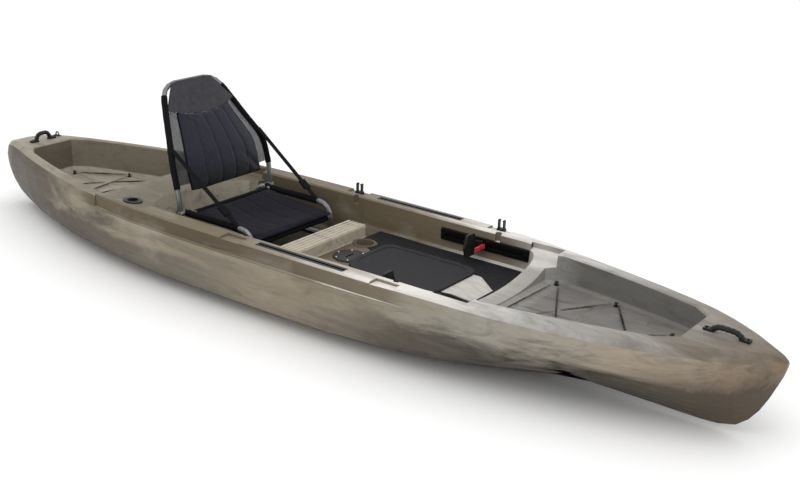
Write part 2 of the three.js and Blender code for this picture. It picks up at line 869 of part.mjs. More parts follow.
function seatWell(grow) {
  const sideY = halfBeamAt(archSideX) - cockpitGunwale;
  const arch = Array.from({ length: archSteps }, (_, i) => {
    const y = sideY * Math.sin((Math.PI / 2) * (i / archSteps));
    const fall = (1 - (y / sideY) ** archPower) ** (1 / archPower);
    return [archSideX - (archSideX - seatWellRearX) * fall, y];
  });
  const half = [...arch, ...edgePoints(archSideX, seatWellFrontX, cockpitEdge)];
  return well(mirrored(half.slice(1)).concat([half[0]]), () => seatWellFloor, cockpitFillet, wallDraft,
    grow);
}

// Ridges across the block in front of the seat, as a side drawing.
function ridgeBlock(shrink) {
  const pitch = (ridgeFrontX - seatWellFrontX - 2 * shrink) / ridgeCount;
  const low = footFloor - overrun;
  const points = [[seatWellFrontX + shrink, low]];
  for (let i = 0; i < ridgeCount; i += 1) {
    const start = seatWellFrontX + shrink + i * pitch;
    const valley = ridgeTop - shrink - ridgeDepth;
    points.push([start, valley], [start + (pitch * (1 - ridgeTopShare)) / 2, ridgeTop - shrink]);
    points.push([start + (pitch * (1 + ridgeTopShare)) / 2, ridgeTop - shrink],
      [start + pitch * ridgeEndShare, valley]);
  }
  points.push([ridgeFrontX - shrink, ridgeTop - shrink - ridgeDepth], [ridgeFrontX - shrink, low]);
  return barAcross(points, -ridgeHalfWidth + shrink, ridgeHalfWidth - shrink);
}

function consoleOutline(out) {
  return rounded([
    [consoleRearX - out, -consoleHalfWidth - out, consoleAftCorner],
    [consoleFrontX + out, -consoleHalfWidth - out, consoleCorner],
    [consoleFrontX + out, consoleHalfWidth + out, consoleFrontCorner],
    [consoleRearX - out, consoleHalfWidth + out, consoleCorner],
  ]);
}

function noseOutline(frontX, halfWidth, out) {
  return rounded([
    [consoleFrontX - consoleCorner, -consoleNoseHalfWidth - out, 0],
    [frontX + out, -halfWidth - out, noseCorner],
    [frontX + out, halfWidth + out, noseCorner],
    [consoleFrontX - consoleCorner, consoleNoseHalfWidth + out, 0],
  ]);
}

function consoleBlock(shrink) {
  const levels = (low, high) => loftSolid([
    low.map(([x, y]) => vec(x, y, footFloor - overrun)),
    low.map(([x, y]) => vec(x, y, footFloor)),
    high.map(([x, y]) => vec(x, y, consoleTop - shrink)),
  ], onPlan);
  const main = levels(consoleOutline(consoleFlare - shrink), consoleOutline(-shrink));
  const nose = levels(
    noseOutline(consoleFootX, consoleFootHalfWidth, -shrink),
    noseOutline(consoleNoseX, consoleNoseHalfWidth, -shrink),
  );
  return main.add(nose);
}

function hatchOutline(out) {
  const edge = hatchMargin - out;
  return rounded([
    [consoleRearX + edge, -consoleHalfWidth + edge, hatchCorner],
    [consoleFrontX - edge, -consoleHalfWidth + edge, hatchCorner],
    [consoleFrontX - edge, consoleHalfWidth - edge, hatchCorner],
    [consoleRearX + edge, consoleHalfWidth - edge, hatchCorner],
  ]);
}

function footOutline() {
  const rear = seatWellFrontX - cockpitFillet - wallDraft - hullWall;
  const corner = rounded([
    [railWallStartX, cockpitWallY, 0], [footFrontX, cockpitWallY, footCornerRadius], [footFrontX, 0, 0],
  ]).slice(0, -1);
  return mirrored([...edgePoints(rear, railWallStartX - wellStep, cockpitEdge), ...corner]);
}

function footWell(grow) {
  const cup = ring(cupX, cupY, cupRadius + cupRimWidth, cupSides);
  const rim = prism(cup, footFloor - overrun, footFloor + cupRimHeight);
  const hole = well(footOutline(), () => footFloor, cockpitFillet, wallDraft, grow);
  const kept = [ridgeBlock(grow), consoleBlock(grow)];
  if (grow === 0) {
    kept.push(rim);
  }
  return hole.subtract(unionOf(kept));
}

function cupWell(grow) {
  const top = footFloor + cupRimHeight + (grow === 0 ? overrun : 0);
  const bottom = footFloor + cupRimHeight - cupDepth - grow;
  return rod(vec(cupX, cupY, bottom), vec(cupX, cupY, top), cupRadius - cupTaper + grow, cupSides,
    cupRadius + grow);
}

function bowFloorAt(x) {
  const slope = (bowWellFrontFloor - bowWellRearFloor) / (bowWellFrontX - bowWellRearX);
  return bowWellRearFloor + slope * (x - bowWellRearX);
}

function bowWell(grow) {
  const half = [
    ...edgePoints(bowWellRearX + bowCorner, bowWellFrontX - bowCorner, () => bowGunwale),
    [bowWellFrontX, bowWellFrontHalfWidth],
  ];
  half.unshift([bowWellRearX, half[0][1] - bowCorner / 2]);
  return well(mirrored(half), bowFloorAt, cockpitFillet, wallDraft, grow);
}

// The dip between the footwell and the bow well: low in the middle, high at the gunwales.
function saddle(grow) {
  const reach = saddleHalfWidth + grow;
  const crest = Array.from({ length: 2 * saddleSteps + 1 }, (_, i) => {
    const y = reach * (i / saddleSteps - 1);
    return [y, saddleLow - grow + saddleRise * Math.abs(y / reach) ** saddlePower];
  });
  const high = hullDepth + overrun;
  return barAlong([...crest, [reach, high], [-reach, high]], footFrontX - overrun * 2,
    bowWellRearX + overrun * 2);
}

function trackPocket(side, grow) {
  const reach = trackWidth / 2 + seatGap + grow;
  const length = trackLength / 2 + seatGap + grow;
  return block([trackX - length, trackX + length], [side * trackY - reach, side * trackY + reach],
    [hullDepth - trackHeight - seatGap - grow, hullDepth + overrun]);
}

function notch(side, x, grow) {
  const halfRun = notchLength / 2 + grow;
  const inner = side * (notchInnerY - grow);
  const outer = side * (halfBeam + overrun);
  const tray = block([x - halfRun, x + halfRun], [Math.min(inner, outer), Math.max(inner, outer)],
    [hullDepth - notchDepth - grow, hullDepth + overrun]);
  const grooveY = side * notchGrooveY;
  const grooveX = x + notchGrooveShift;
  const groove = rod(vec(grooveX, grooveY, hullDepth - notchGrooveDepth - grow),
    vec(grooveX, grooveY, hullDepth + overrun),
    notchGrooveRadius + grow);
  return tray.add(groove);
}

function drainPocket(grow) {
  return rod(vec(drainX, drainSeatY - grow, drainZ), vec(drainX, halfBeam, drainZ),
    drainCapRadius + drainPocketGap + grow);
}

// A flat seat for the foot rail in the cockpit wall
function railSeat(side, grow) {
  const reach = railHeight / 2 + railSeatGap + grow;
  const half = railLength / 2 + railSeatGap + grow;
  const wall = side * (cockpitWallY + grow);
  const inner = side * (cockpitWallY - overrun);
  return block([railX - half, railX + half], [Math.min(wall, inner), Math.max(wall, inner)],
    [railZ - reach, railZ + reach]);
}

function deckCuts(grow) {
  const cuts = [
    tankWell(grow), rearRamp(grow), rearDeck(grow), seatWell(grow), footWell(grow), cupWell(grow),
    bowWell(grow),
    saddle(grow), drainPocket(grow),
  ];
  for (const side of [1, -1]) {
    cuts.push(trackPocket(side, grow), railSeat(side, grow), ...clipXs.map((x) => notch(side, x, grow)));
  }
  return unionOf(cuts);
}

// Holes through the deck skin into the hollow of the hull.
function throughHoles() {
  const holes = [
    prism(hatchOutline(0), footFloor - overrun, consoleTop + overrun),
    rod(vec(drainX, 0, drainZ), vec(drainX, halfBeam, drainZ), drainHoleRadius, cupSides),
    ...plateScrewSpots().map(([x, y]) => screwHole(x, y, footFloor)),
    ...[bowHandle, sternHandle].flatMap(handleSpots).map(([x, y, top]) => screwHole(x, y, top)),
  ];
  for (const side of [1, -1]) {
    holes.push(rodTube(side, rodBore + rodWall + seatGap * 2, rodTubeDepth + overrun, overrun));
  }
  return unionOf(holes);
}

function screwHole(x, y, z) {
  return rod(vec(x, y, z - screwShankLength - overrun), vec(x, y, z + overrun), screwHoleRadius);
}

// The bore of a rod holder: it leans, with its foot further forward.
function rodTube(side, radius, depth, above) {
  const top = rearDeckHeight + seatGap;
  return rod(vec(rodX - rodTiltShare * above, side * rodY, top + above),
    vec(rodX + rodTiltShare * depth, side * rodY, top - depth), radius, cupSides);
}

function plateScrewSpots() {
  return ring(plateX, 0, plateRadius * plateScrewRingShare, plateScrewCount);
}

function handlePoint(spec, along, height) {
  return spec.across ? vec(spec.x, along, height) : vec(spec.x + along, 0, height);
}

// Where a handle's screws go: the place of each, and the top of its foot.
function handleSpots(spec) {
  const reach = spec.span / 2 - handleFootLength * screwFootShare;
  return [1, -1].map((side) => {
    const { x, y } = handlePoint(spec, side * reach, 0);
    return [x, y, handleFootTop(spec, side)];
  });
}

function handleFootTop(spec, side) {
  return sheerAt(handlePoint(spec, side * (spec.span - handleFootLength) / 2, 0).x) + handleFootHeight;
}

// A raised rib on a well floor
function floorRib([start, end, across], rearX, frontX, floorAt) {
  const [startX, endX] = [start, end].map((share) => rearX + (frontX - rearX) * share);
  const y = halfBeam * across;
  const level = (half, rise) => [[startX, -1], [endX, -1], [endX, 1], [startX, 1]]
    .map(([x, side]) => [x + (x === startX ? 1 : -1) * (ribWidth / 2 - half), side * half])
    .map(([x, out]) => vec(x, y + out, floorAt(x) + rise));
  return loftSolid([level(ribWidth / 2, -hullWall / 2), level(ribWidth / 2, 0),
    level(ribWidth * ribTopShare / 2, ribRise)],
    onPlan);
}

// Pieces

const group = new THREE.Group();
group.name = 'fishing_kayak';

const looks = {
  shell: [0x7d7162, 0.6, 0],
  plastic: [0x26272a, 0.55, 0],
  rail: [0x1b1c1e, 0.5, 0],
  red: [0xb8333a, 0.5, 0],
  cord: [0x1a1a1c, 0.85, 0],
  mat: [0x3a3b3d, 0.9, 0],
  frame: [0x7c7f84, 0.4, 0.9],
  steel: [0xb9bbbd, 0.35, 0.9],
  cloth: [0x1c2130, 0.9, 0],
  mesh: [0x15171c, 0.9, 0],
  web: [0x17181b, 0.9, 0],
  yoke: [0x4b4e53, 0.6, 0],
};

function addPart(name, solid, look) {
  const { vertProperties, triVerts } = solid.getMesh();
  const geometry = new THREE.BufferGeometry();
  geometry.setAttribute('position', new THREE.BufferAttribute(Float32Array.from(vertProperties), 3));
  geometry.setIndex([...triVerts]);
  geometry.computeVertexNormals();
  const [color, roughness, metalness] = looks[look];
  const part = new THREE.Mesh(geometry, new THREE.MeshStandardMaterial({ color, roughness, metalness }));
  part.name = name;
  group.add(part);
}

function addPair(name, solid, look) {
  addPart(`${name}_port`, solid, look);
  addPart(`${name}_starboard`, placed(solid, new THREE.Matrix4().makeScale(1, -1, 1)), look);
}

// Hull

const outer = outerHull();
const raisedHull = placed(outer, new THREE.Matrix4().makeTranslation(0, 0, seatGap));
const floorRibs = unionOf([
  ...bowRibShares.map((rib) => floorRib(rib, bowWellRearX, bowWellFrontX, bowFloorAt)),
  ...tankRibShares.map((rib) => floorRib(rib, tankRearX, tankFrontX, () => tankFloor)),
]);
const hollow = innerHull().subtract(deckCuts(hullWall));
const hull = outer.subtract(deckCuts(0)).add(floorRibs).subtract(hollow).subtract(throughHoles());
addPart('hull', hull, 'shell');

// Screws with round heads, head first
function screw(x, y, z) {
  const head = turned([
    [0, 0], [screwHeadRadius, 0], [screwHeadRadius * screwCrownShare, screwHeadHeight],
    [0, screwHeadHeight],
  ], screwSides, x, y, z);
  return head.add(rod(vec(x, y, z - screwShankLength), vec(x, y, z + seatGap), screwShankRadius,
    screwSides));
}

// Carry handles
function handle(spec) {
  const half = spec.span / 2;
  const reach = half - handleFootLength * gripFootShare;
  const count = 2 * handleRibCount;
  const heightAt = (along) => {
    const share = Math.abs(along / reach);
    const x = handlePoint(spec, along, 0).x;
    return sheerAt(x) + handleFootHeight / 2 + (spec.rise - handleFootHeight / 2)
      * (1 - share ** gripPower);
  };
  const rings = Array.from({ length: count + 1 }, (_, i) => {
    const along = reach * Math.sin((Math.PI / 2) * ((2 * i) / count - 1));
    const here = handlePoint(spec, along, heightAt(along));
    const step = reach / count;
    const tangent = handlePoint(spec, along + step, heightAt(Math.min(along + step, reach)))
      .sub(handlePoint(spec, along - step, heightAt(Math.max(along - step, -reach)))).normalize();
    const sideways = spec.across ? vec(1, 0, 0) : vec(0, 1, 0);
    const upward = sideways.clone().cross(tangent).normalize();
    const radius = handleGripRadius - (i % 2 === 0 ? handleRibDepth : 0);
    return Array.from({ length: handleSides }, (_unused, j) => {
      const angle = (2 * Math.PI * j) / handleSides;
      return here.clone().addScaledVector(sideways, radius * Math.cos(angle))
        .addScaledVector(upward, radius * Math.sin(angle));
    });
  });
  const solids = [loftSolid(rings, spec.across ? onSide : onSection)];
  for (const side of [1, -1]) {
    const near = side * (half - handleFootLength);
    const a = handlePoint(spec, Math.min(near, side * half), 0);
    const b = handlePoint(spec, Math.max(near, side * half), 0);
    const wide = handleFootWidth / 2;
    const [lowX, highX] = spec.across ? [a.x - wide, a.x + wide] : [a.x, b.x];
    const [lowY, highY] = spec.across ? [a.y, b.y] : [-wide, wide];
    const top = handleFootTop(spec, side);
    solids.push(block([lowX, highX], [lowY, highY], [top - handleFootHeight * 2, top]));
  }
  const holes = handleSpots(spec).map(([x, y, top]) => screwHole(x, y, top));
  return unionOf(solids).subtract(raisedHull).subtract(unionOf(holes));
}

addPart('bow_handle', handle(bowHandle), 'plastic');
addPart('stern_handle', handle(sternHandle), 'plastic');
handleSpots(bowHandle).forEach(([x, y, top], i) => {
  addPart(`bow_handle_screw_${i + 1}`, screw(x, y, top + seatGap), 'steel');
});
handleSpots(sternHandle).forEach(([x, y, top], i) => {
  addPart(`stern_handle_screw_${i + 1}`, screw(x, y, top + seatGap), 'steel');
});

// Pad eye
const padEyeDeck = sheerAt(padEyeX);
const padEyeReach = padEyeLength / 2 - padEyeWire * 2;
const padEyeLoop = Array.from({ length: padEyeSteps + 1 }, (_, i) => {
  const angle = Math.PI * (i / padEyeSteps);
  return vec(padEyeX + padEyeReach * Math.cos(angle), padEyeY,
    padEyeDeck + padEyeHeight / 2 + padEyeRise * Math.sin(angle));
});
const padEye = block(
  [padEyeX - padEyeLength / 2, padEyeX + padEyeLength / 2],
  [padEyeY - padEyeWidth / 2, padEyeY + padEyeWidth / 2],
  [padEyeDeck - padEyeHeight, padEyeDeck + padEyeHeight],
).add(tube(padEyeLoop, padEyeWire, bungeeSides));
addPart('stern_pad_eye', padEye.subtract(raisedHull), 'plastic');

// Paddle clips
function paddleClip(x) {
  const low = hullDepth - notchDepth + seatGap;
  const prongs = [1, -1].map((side) => barAcross([
    [clipGap / 2 + clipProngThickness, low], [clipGap / 2 + clipProngThickness, low + clipProngHeight],
    [clipGap / 2, low + clipProngHeight], [clipGap / 2 - clipHook, low + clipProngHeight - clipHook],
    [clipGap / 2, low + clipProngHeight - clipHook * 2], [clipGap / 2, low],
  ].map(([along, z]) => [x + side * along, z]), clipY - clipProngWidth / 2, clipY + clipProngWidth / 2));
  const base = block([x - clipBaseLength / 2, x + clipBaseLength / 2],
    [clipY - clipBaseWidth / 2, clipY + clipBaseWidth / 2], [low, low + clipBaseHeight]);
  return unionOf([base, ...prongs]);
}

addPart('paddle_clip_aft', paddleClip(clipXs[0]), 'plastic');
addPart('paddle_clip_fore', paddleClip(clipXs[1]), 'plastic');

// Gear tracks
function gearTrack() {
  const half = trackWidth / 2;
  const low = hullDepth - trackHeight;
  const slot = trackSlotWidth / 2;
  const inner = trackSlotInner / 2;
  const section = [
    [-half, low], [half, low], [half, hullDepth], [slot, hullDepth], [slot, hullDepth - trackLip],
    [inner, hullDepth - trackLip], [inner, low + trackBase], [-inner, low + trackBase],
    [-inner, hullDepth - trackLip], [-slot, hullDepth - trackLip], [-slot, hullDepth], [-half, hullDepth],
  ].map(([y, z]) => [trackY + y, z]);
  return barAlong(section, trackX - trackLength / 2, trackX + trackLength / 2);
}

addPair('gear_track', gearTrack(), 'rail');

// Foot rails, pedals and their levers, drawn on the port side
const railBack = cockpitWallY - seatGap;
const railFace = railBack - railDepth;

function footRail() {
  const half = railLength / 2;
  const open = half - railEndPost;
  const bar = block([railX - half, railX + half], [railFace, railBack],
    [railZ - railHeight / 2, railZ + railHeight / 2]);
  const cuts = [
    block([railX - open, railX + open], [railFace - overrun, railFace + railLip + seatGap],
      [railZ - railOpening / 2, railZ + railOpening / 2]),
    block([railX - open, railX + open], [railFace + railLip, railFace + railLip + railSlotDepth],
      [railZ - railSlotHeight / 2, railZ + railSlotHeight / 2]),
  ];
  const teeth = Math.floor((2 * open) / railToothPitch) - 1;
  for (let i = 0; i < teeth; i += 1) {
    const x = railX - (teeth / 2 - i) * railToothPitch + railToothPitch / 2;
    cuts.push(block([x - railToothLength / 2, x + railToothLength / 2],
      [railFace - overrun, railFace + railLip + seatGap],
      [railZ - railOpening / 2 - railToothDepth, railZ]));
  }
  const caps = [1, -1].map((side) => rod(
    vec(railX + side * (half - railEndPost / 2), railFace - screwHeadHeight, railZ),
    vec(railX + side * (half - railEndPost / 2), railFace + railLip, railZ), railCapRadius,
  ));
  return unionOf([bar.subtract(unionOf(cuts)), ...caps]);
}

function pedal() {
  const face = railFace - pedalClear;
  const back = face - pedalCarriageDepth;
  const halfThick = pedalThickness / 2;
  const centreY = back + pedalOverlap - pedalWidth / 2;
  const top = (pedalWidth * pedalTopWidthShare) / 2;
  const low = (pedalWidth * pedalLowWidthShare) / 2;
  const plate = barAlong(rounded([
    [centreY - low, pedalLow, pedalCorner], [centreY + low, pedalLow, pedalCorner],
    [centreY + pedalWidth / 2, railZ, pedalCorner], [centreY + top, pedalHigh, pedalTopCorner],
    [centreY - top, pedalHigh, pedalTopCorner], [centreY - pedalWidth / 2, railZ, pedalCorner],
  ]), pedalX - halfThick, pedalX + halfThick);
  const carriage = block([pedalX - pedalCarriageLength / 2, pedalX + pedalCarriageLength / 2], [back, face],
    [railZ - pedalCarriageHeight / 2, railZ + pedalCarriageHeight / 2]);
  const neck = block([pedalX - pedalShoeLength / 2, pedalX + pedalShoeLength / 2],
    [face - seatGap, railFace + railLip + railSlotDepth - pedalClear],
    [railZ - railOpening / 2 + pedalClear, railZ + railOpening / 2 - pedalClear]);
  const shoe = block([pedalX - pedalShoeLength / 2, pedalX + pedalShoeLength / 2],
    [railFace + railLip + pedalClear, railFace + railLip + railSlotDepth - pedalClear],
    [railZ - railSlotHeight / 2 + pedalClear, railZ + railSlotHeight / 2 - pedalClear]);
  const ear = block([pedalX + pedalCarriageLength / 2 - overrun, leverX + leverEyeRadius], [back, face],
    [leverLow - leverGap - leverEarThickness, leverLow - leverGap]);
  const pin = rod(vec(leverX, leverY, leverLow - leverGap - seatGap),
    vec(leverX, leverY, leverLow + leverHeight),
    leverPivotRadius);
  return unionOf([plate, carriage, neck, shoe, ear, pin]);
}

const leverX = pedalX + pedalCarriageLength / 2 + leverEyeRadius + leverGap;
const leverY = railFace - leverRailGap - leverEyeRadius;
const leverLow = railZ - pedalCarriageHeight / 2 + leverRaise;

function pedalLever() {
  const eye = rod(vec(leverX, leverY, leverLow), vec(leverX, leverY, leverLow + leverHeight),
    leverEyeRadius);
  const half = leverThickness / 2;
  const arm = prism(rounded([
    [leverX - half, leverY, 0], [leverX - half * leverArmShare, leverY - leverLength, leverTipRadius],
    [leverX + half * leverArmShare, leverY - leverLength, leverTipRadius], [leverX + half, leverY, 0],
  ]), leverLow, leverLow + leverHeight);
  const hole = rod(vec(leverX, leverY, leverLow - overrun), vec(leverX, leverY, leverLow + overrun),
    leverPivotHole);
  return eye.add(arm).subtract(hole);
}

addPair('foot_rail', footRail(), 'rail');
addPair('pedal', pedal(), 'plastic');
addPair('pedal_lever', pedalLever(), 'red');

// Rod holders: an oval flange and a leaning closed tube
function rodHolder() {
  const outline = Array.from({ length: rodSides }, (_, i) => {
    const angle = (2 * Math.PI * i) / rodSides;
    return [rodX + rodFlangeLength * Math.cos(angle), rodY + rodFlangeWidth * Math.sin(angle)];
  });
  const low = rearDeckHeight + seatGap;
  const flange = loftSolid([
    outline.map(([x, y]) => vec(x, y, low)),
    outline.map(([x, y]) => vec(x, y, low + rodFlangeThickness / 2)),
    inset(outline, rodFlangeThickness / 2).map(([x, y]) => vec(x, y, low + rodFlangeThickness)),
  ], onPlan);
  const tubeWall = rodTube(1, rodBore + rodWall, rodTubeDepth, rodFlangeThickness / 2);
  return flange.add(tubeWall).subtract(rodTube(1, rodBore, rodTubeDepth - rodBottom, overrun));
}

addPair('rod_holder', rodHolder(), 'plastic');

// Console lid with its flange and half of the hinge
const lidLow = consoleTop + seatGap;
const lidHigh = lidLow + lidThickness;
const hingeY = consoleHalfWidth + lidOverhang + hingeBarrelRadius + hingeGap;
const hingeZ = lidLow + hingeBarrelRadius;
const knuckleLength = hingeLength / hingeKnuckleCount;
const hingeLeafY = consoleHalfWidth + lidOverhang + hingeGap * 2;
const hingeStartX = (consoleRearX + consoleFrontX - hingeLength) / 2;

function knuckles(first) {
  const solids = [];
  for (let i = first; i < hingeKnuckleCount; i += 2) {
    const start = hingeStartX + i * knuckleLength + hingeGap / 2;
    const end = start + knuckleLength - hingeGap;
    solids.push(rod(vec(start, hingeY, hingeZ), vec(end, hingeY, hingeZ), hingeBarrelRadius));
    if (first === 1) {
      solids.push(block([start, end], [hingeY - hingeBarrelRadius - hingeGap - lidOverhang / 2, hingeY],
        [hingeZ, hingeZ + hingeLeaf]));
    } else {
      solids.push(block([start, end], [hingeY - hingeBarrelRadius, hingeY],
        [hingeZ - 2 * hingeBarrelRadius, hingeZ]));
    }
  }
  return solids;
}

const hingeBore = rod(vec(hingeStartX - overrun, hingeY, hingeZ),
  vec(hingeStartX + hingeLength + overrun, hingeY, hingeZ),
  hingeHoleRadius);

function consoleLid() {
  const plate = loftSolid([
    consoleOutline(lidOverhang).map(([x, y]) => vec(x, y, lidLow)),
    consoleOutline(lidOverhang).map(([x, y]) => vec(x, y, lidHigh - lidEdge)),
    consoleOutline(lidOverhang - lidEdge).map(([x, y]) => vec(x, y, lidHigh)),
  ], onPlan);
  const panel = prism(consoleOutline(-lidPanelMargin), lidHigh - lidPanelDepth, lidHigh + overrun);
  const rim = prism(hatchOutline(-lidFlangeGap), lidLow - lidFlangeDepth, lidLow + seatGap)
    .subtract(prism(hatchOutline(-lidFlangeGap - lidFlangeWall), lidLow - lidFlangeDepth - overrun,
      lidLow));
  return unionOf([plate.subtract(panel), rim, ...knuckles(1)]).subtract(hingeBore);
}

function hingeLeafPiece() {
  const leaf = block([hingeStartX, hingeStartX + hingeLength], [consoleHalfWidth - overrun, hingeLeafY],
    [consoleTop - hingeLeafDepth, hingeZ - hingeBarrelRadius - seatGap * 2]);
  return unionOf([leaf, ...knuckles(0)]).subtract(hingeBore).subtract(consoleBlock(-seatGap));
}

addPart('console_lid', consoleLid(), 'plastic');
addPart('lid_hinge_leaf', hingeLeafPiece(), 'rail');
addPart('lid_hinge_pin', rod(
  vec(hingeStartX - hingeGap, hingeY, hingeZ), vec(hingeStartX + hingeLength + hingeGap, hingeY, hingeZ),
  hingePinRadius,
), 'steel');

// Accessory plate
const plateTop = footFloor + seatGap + plateThickness;
const plateSlot = block([plateX - plateSlotWidth / 2, plateX + plateSlotWidth / 2],
  [-plateSlotLength / 2, plateSlotLength / 2], [footFloor - overrun, plateTop + overrun]);
const plateHoles = plateScrewSpots().map(([x, y]) => screwHole(x, y, plateTop));
const plate = turned([
  [0, 0], [plateRadius, 0], [plateRadius, plateThickness / 2],
  [plateRadius - plateThickness / 2, plateThickness],
  [0, plateThickness],
], plateSides, plateX, 0, footFloor + seatGap);
addPart('accessory_plate', plate.subtract(unionOf([plateSlot, ...plateHoles])), 'plastic');
plateScrewSpots().forEach(([x, y], i) => {
  addPart(`plate_screw_${i + 1}`, screw(x, y, plateTop + seatGap), 'steel');
});

// Floor mat, cut round the console, the cup holder and the accessory plate
function floorMat() {
  const low = footFloor + seatGap;
  const sheet = prism(inset(footOutline(), wallDraft + cockpitFillet + matMargin), low, low + matThickness);
  const cuts = [
    consoleBlock(-matConsoleGap),
    rod(vec(cupX, cupY, footFloor - overrun), vec(cupX, cupY, footFloor + overrun),
      cupRadius + cupRimWidth + matMargin, cupSides),
    prism(rounded([
      [seatWellFrontX - overrun * 2, -halfBeam, 0], [matRearX, -halfBeam, 0],
      [matRearX, -matInnerHalfWidth - matRearRise, 0], [matInnerX, -matInnerHalfWidth, matMargin],
      [matInnerX, matInnerHalfWidth, matMargin], [matRearX, matInnerHalfWidth + matRearRise, 0],
      [matRearX, halfBeam, 0], [seatWellFrontX - overrun * 2, halfBeam, 0],
    ]), footFloor - overrun, footFloor + overrun),
    prism(rounded([
      [matInnerX - overrun, -matInnerHalfWidth, 0], [consoleRearX + overrun, -matInnerHalfWidth, 0],
      [consoleRearX + overrun, matInnerHalfWidth, 0], [matInnerX - overrun, matInnerHalfWidth, 0],
    ]), footFloor - overrun, footFloor + overrun),
  ];
  return sheet.subtract(unionOf(cuts));
}

addPart('floor_mat', floorMat(), 'mat');

// Deck buttons and the bungees that turn round them
const buttonTop = buttonFootHeight + buttonPostHeight;

function deckButton([x, y], floorAt) {
  const floor = floorAt(x) + seatGap;
  const button = turned([
    [0, -buttonFootHeight], [buttonFootRadius, -buttonFootHeight], [buttonFootRadius, buttonFootHeight],
    [buttonPostRadius, buttonFootHeight], [buttonPostRadius, buttonTop], [buttonCapRadius, buttonTop],
    [buttonCapRadius * screwCrownShare, buttonTop + buttonCapHeight], [0, buttonTop + buttonCapHeight],
  ], buttonSides, x, y, floor);
  const ends = [x - overrun, x + overrun];
  const under = barAcross([
    [ends[0], floor - overrun], [ends[1], floor - overrun], [ends[1], floorAt(ends[1]) + seatGap],
    [ends[0], floorAt(ends[0]) + seatGap],
  ], y - overrun, y + overrun);
  return button.subtract(under);
}

// The bungee's route: straight runs between buttons and a turn round each post. One run rises over another.
function bungeeRoute(anchors, floorAt, risingRun) {
  const turn = buttonPostRadius + bungeeRadius + bungeeClear;
  const places = anchors.map(([x, y]) => vec(x, y, 0));
  const knot = bungeeRadius * bungeeKnotShare;
  const direction = (i) => places[i + 1].clone().sub(places[i]).normalize();
  const points = [];
  const add = (p, lift = 0) => points.push(vec(p.x, p.y, floorAt(p.x) + bungeeHeight + lift));
  const endGap = buttonPostRadius + knot + bungeeClear;
  add(places[0].clone().addScaledVector(direction(0), endGap));
  for (let i = 1; i + 1 < places.length; i += 1) {
    const before = direction(i - 1);
    const after = direction(i);
    const hand = Math.sign(before.x * after.y - before.y * after.x);
    const start = Math.atan2(-before.x * hand, before.y * hand);
    const bend = hand * Math.acos(Math.min(Math.max(before.dot(after), -1), 1));
    for (let k = 0; k <= bungeeTurnSteps; k += 1) {
      const angle = start + (bend * k) / bungeeTurnSteps;
      add(places[i].clone().add(vec(turn * Math.cos(angle), turn * Math.sin(angle), 0)));
    }
    if (i === risingRun.from) {
      add(places[i].clone().lerp(places[i + 1], risingRun.share), risingRun.lift);
    }
  }
  add(places[places.length - 1].clone().addScaledVector(direction(places.length - 2), -endGap));
  return points;
}

function bungee(anchors, floorAt, risingRun) {
  const points = bungeeRoute(anchors, floorAt, risingRun);
  const knots = [points[0], points[points.length - 1]].map((p) => {
    const ball = new THREE.IcosahedronGeometry(bungeeRadius * bungeeKnotShare, 1);
    ball.translate(p.x, p.y, p.z);
    return solidOf(ball);
  });
  return unionOf([tube(points, bungeeRadius, bungeeSides), ...knots]);
}

addPart('bow_bungee', bungee(bowAnchors, bowFloorAt, bowRise), 'cord');
addPart('stern_bungee', bungee(sternAnchors, () => tankFloor, sternRise), 'cord');
bowAnchors.forEach((spot, i) => addPart(`bow_button_${i + 1}`, deckButton(spot, bowFloorAt), 'plastic'));
sternAnchors.forEach((spot, i) => addPart(`stern_button_${i + 1}`, deckButton(spot, () => tankFloor),
  'plastic'));

// Drain plug
const plugLow = drainSeatY + seatGap;
const plugCap = barAcross(Array.from({ length: 2 * drainLobeCount }, (_, i) => {
  const angle = (Math.PI * i) / drainLobeCount;
  const radius = drainCapRadius * (i % 2 === 0 ? 1 : drainLobeShare);
  return [drainX + radius * Math.cos(angle), drainZ + radius * Math.sin(angle)];
}), plugLow, plugLow + drainCapLength);
addPart('drain_plug', plugCap.add(rod(
  vec(drainX, plugLow - drainShankLength, drainZ), vec(drainX, plugLow + seatGap, drainZ), drainShankRadius,
  cupSides,
)), 'plastic');

// Seat base: two closed tube hoops, cross tubes and the sling
const hoopMiddleX = (hoopFrontX + hoopRearX) / 2;
const hoopInner = hoopY - hoopTube;

function hoopTubes(hand, tubeRadius) {
  return unionOf([[hoopFrontX, hoopFrontRadius, 1],
    [hoopRearX, hoopRearRadius, -1]].map(([endX, radius, side]) => {
    const start = hoopMiddleX - side * seatGap;
    return tube(bent([
      [start, hand * hoopY, hoopTopZ], [endX, hand * hoopY, hoopTopZ],
      [endX, hand * hoopY, hoopLowZ], [start, hand * hoopY, hoopLowZ],
    ].map((p) => vec(...p)), radius), tubeRadius);
  }));
}

function seatHoop() {
  const ear = rod(vec(pivotX, hoopY, pivotZ), vec(pivotX, pivotY - backTube - seatGap * 2, pivotZ),
    pivotEarRadius);
  const hole = rod(vec(pivotX, hoopInner - overrun, pivotZ), vec(pivotX, pivotY + overrun, pivotZ),
    pivotHoleRadius);
  return hoopTubes(1, hoopTube).add(ear).subtract(hole);
}

function crossTubeAt(x, z) {
  const end = hoopInner + hoopTube * crossSinkShare;
  return rod(vec(x, -end, z), vec(x, end, z), crossTube).subtract(crossClearance);
}

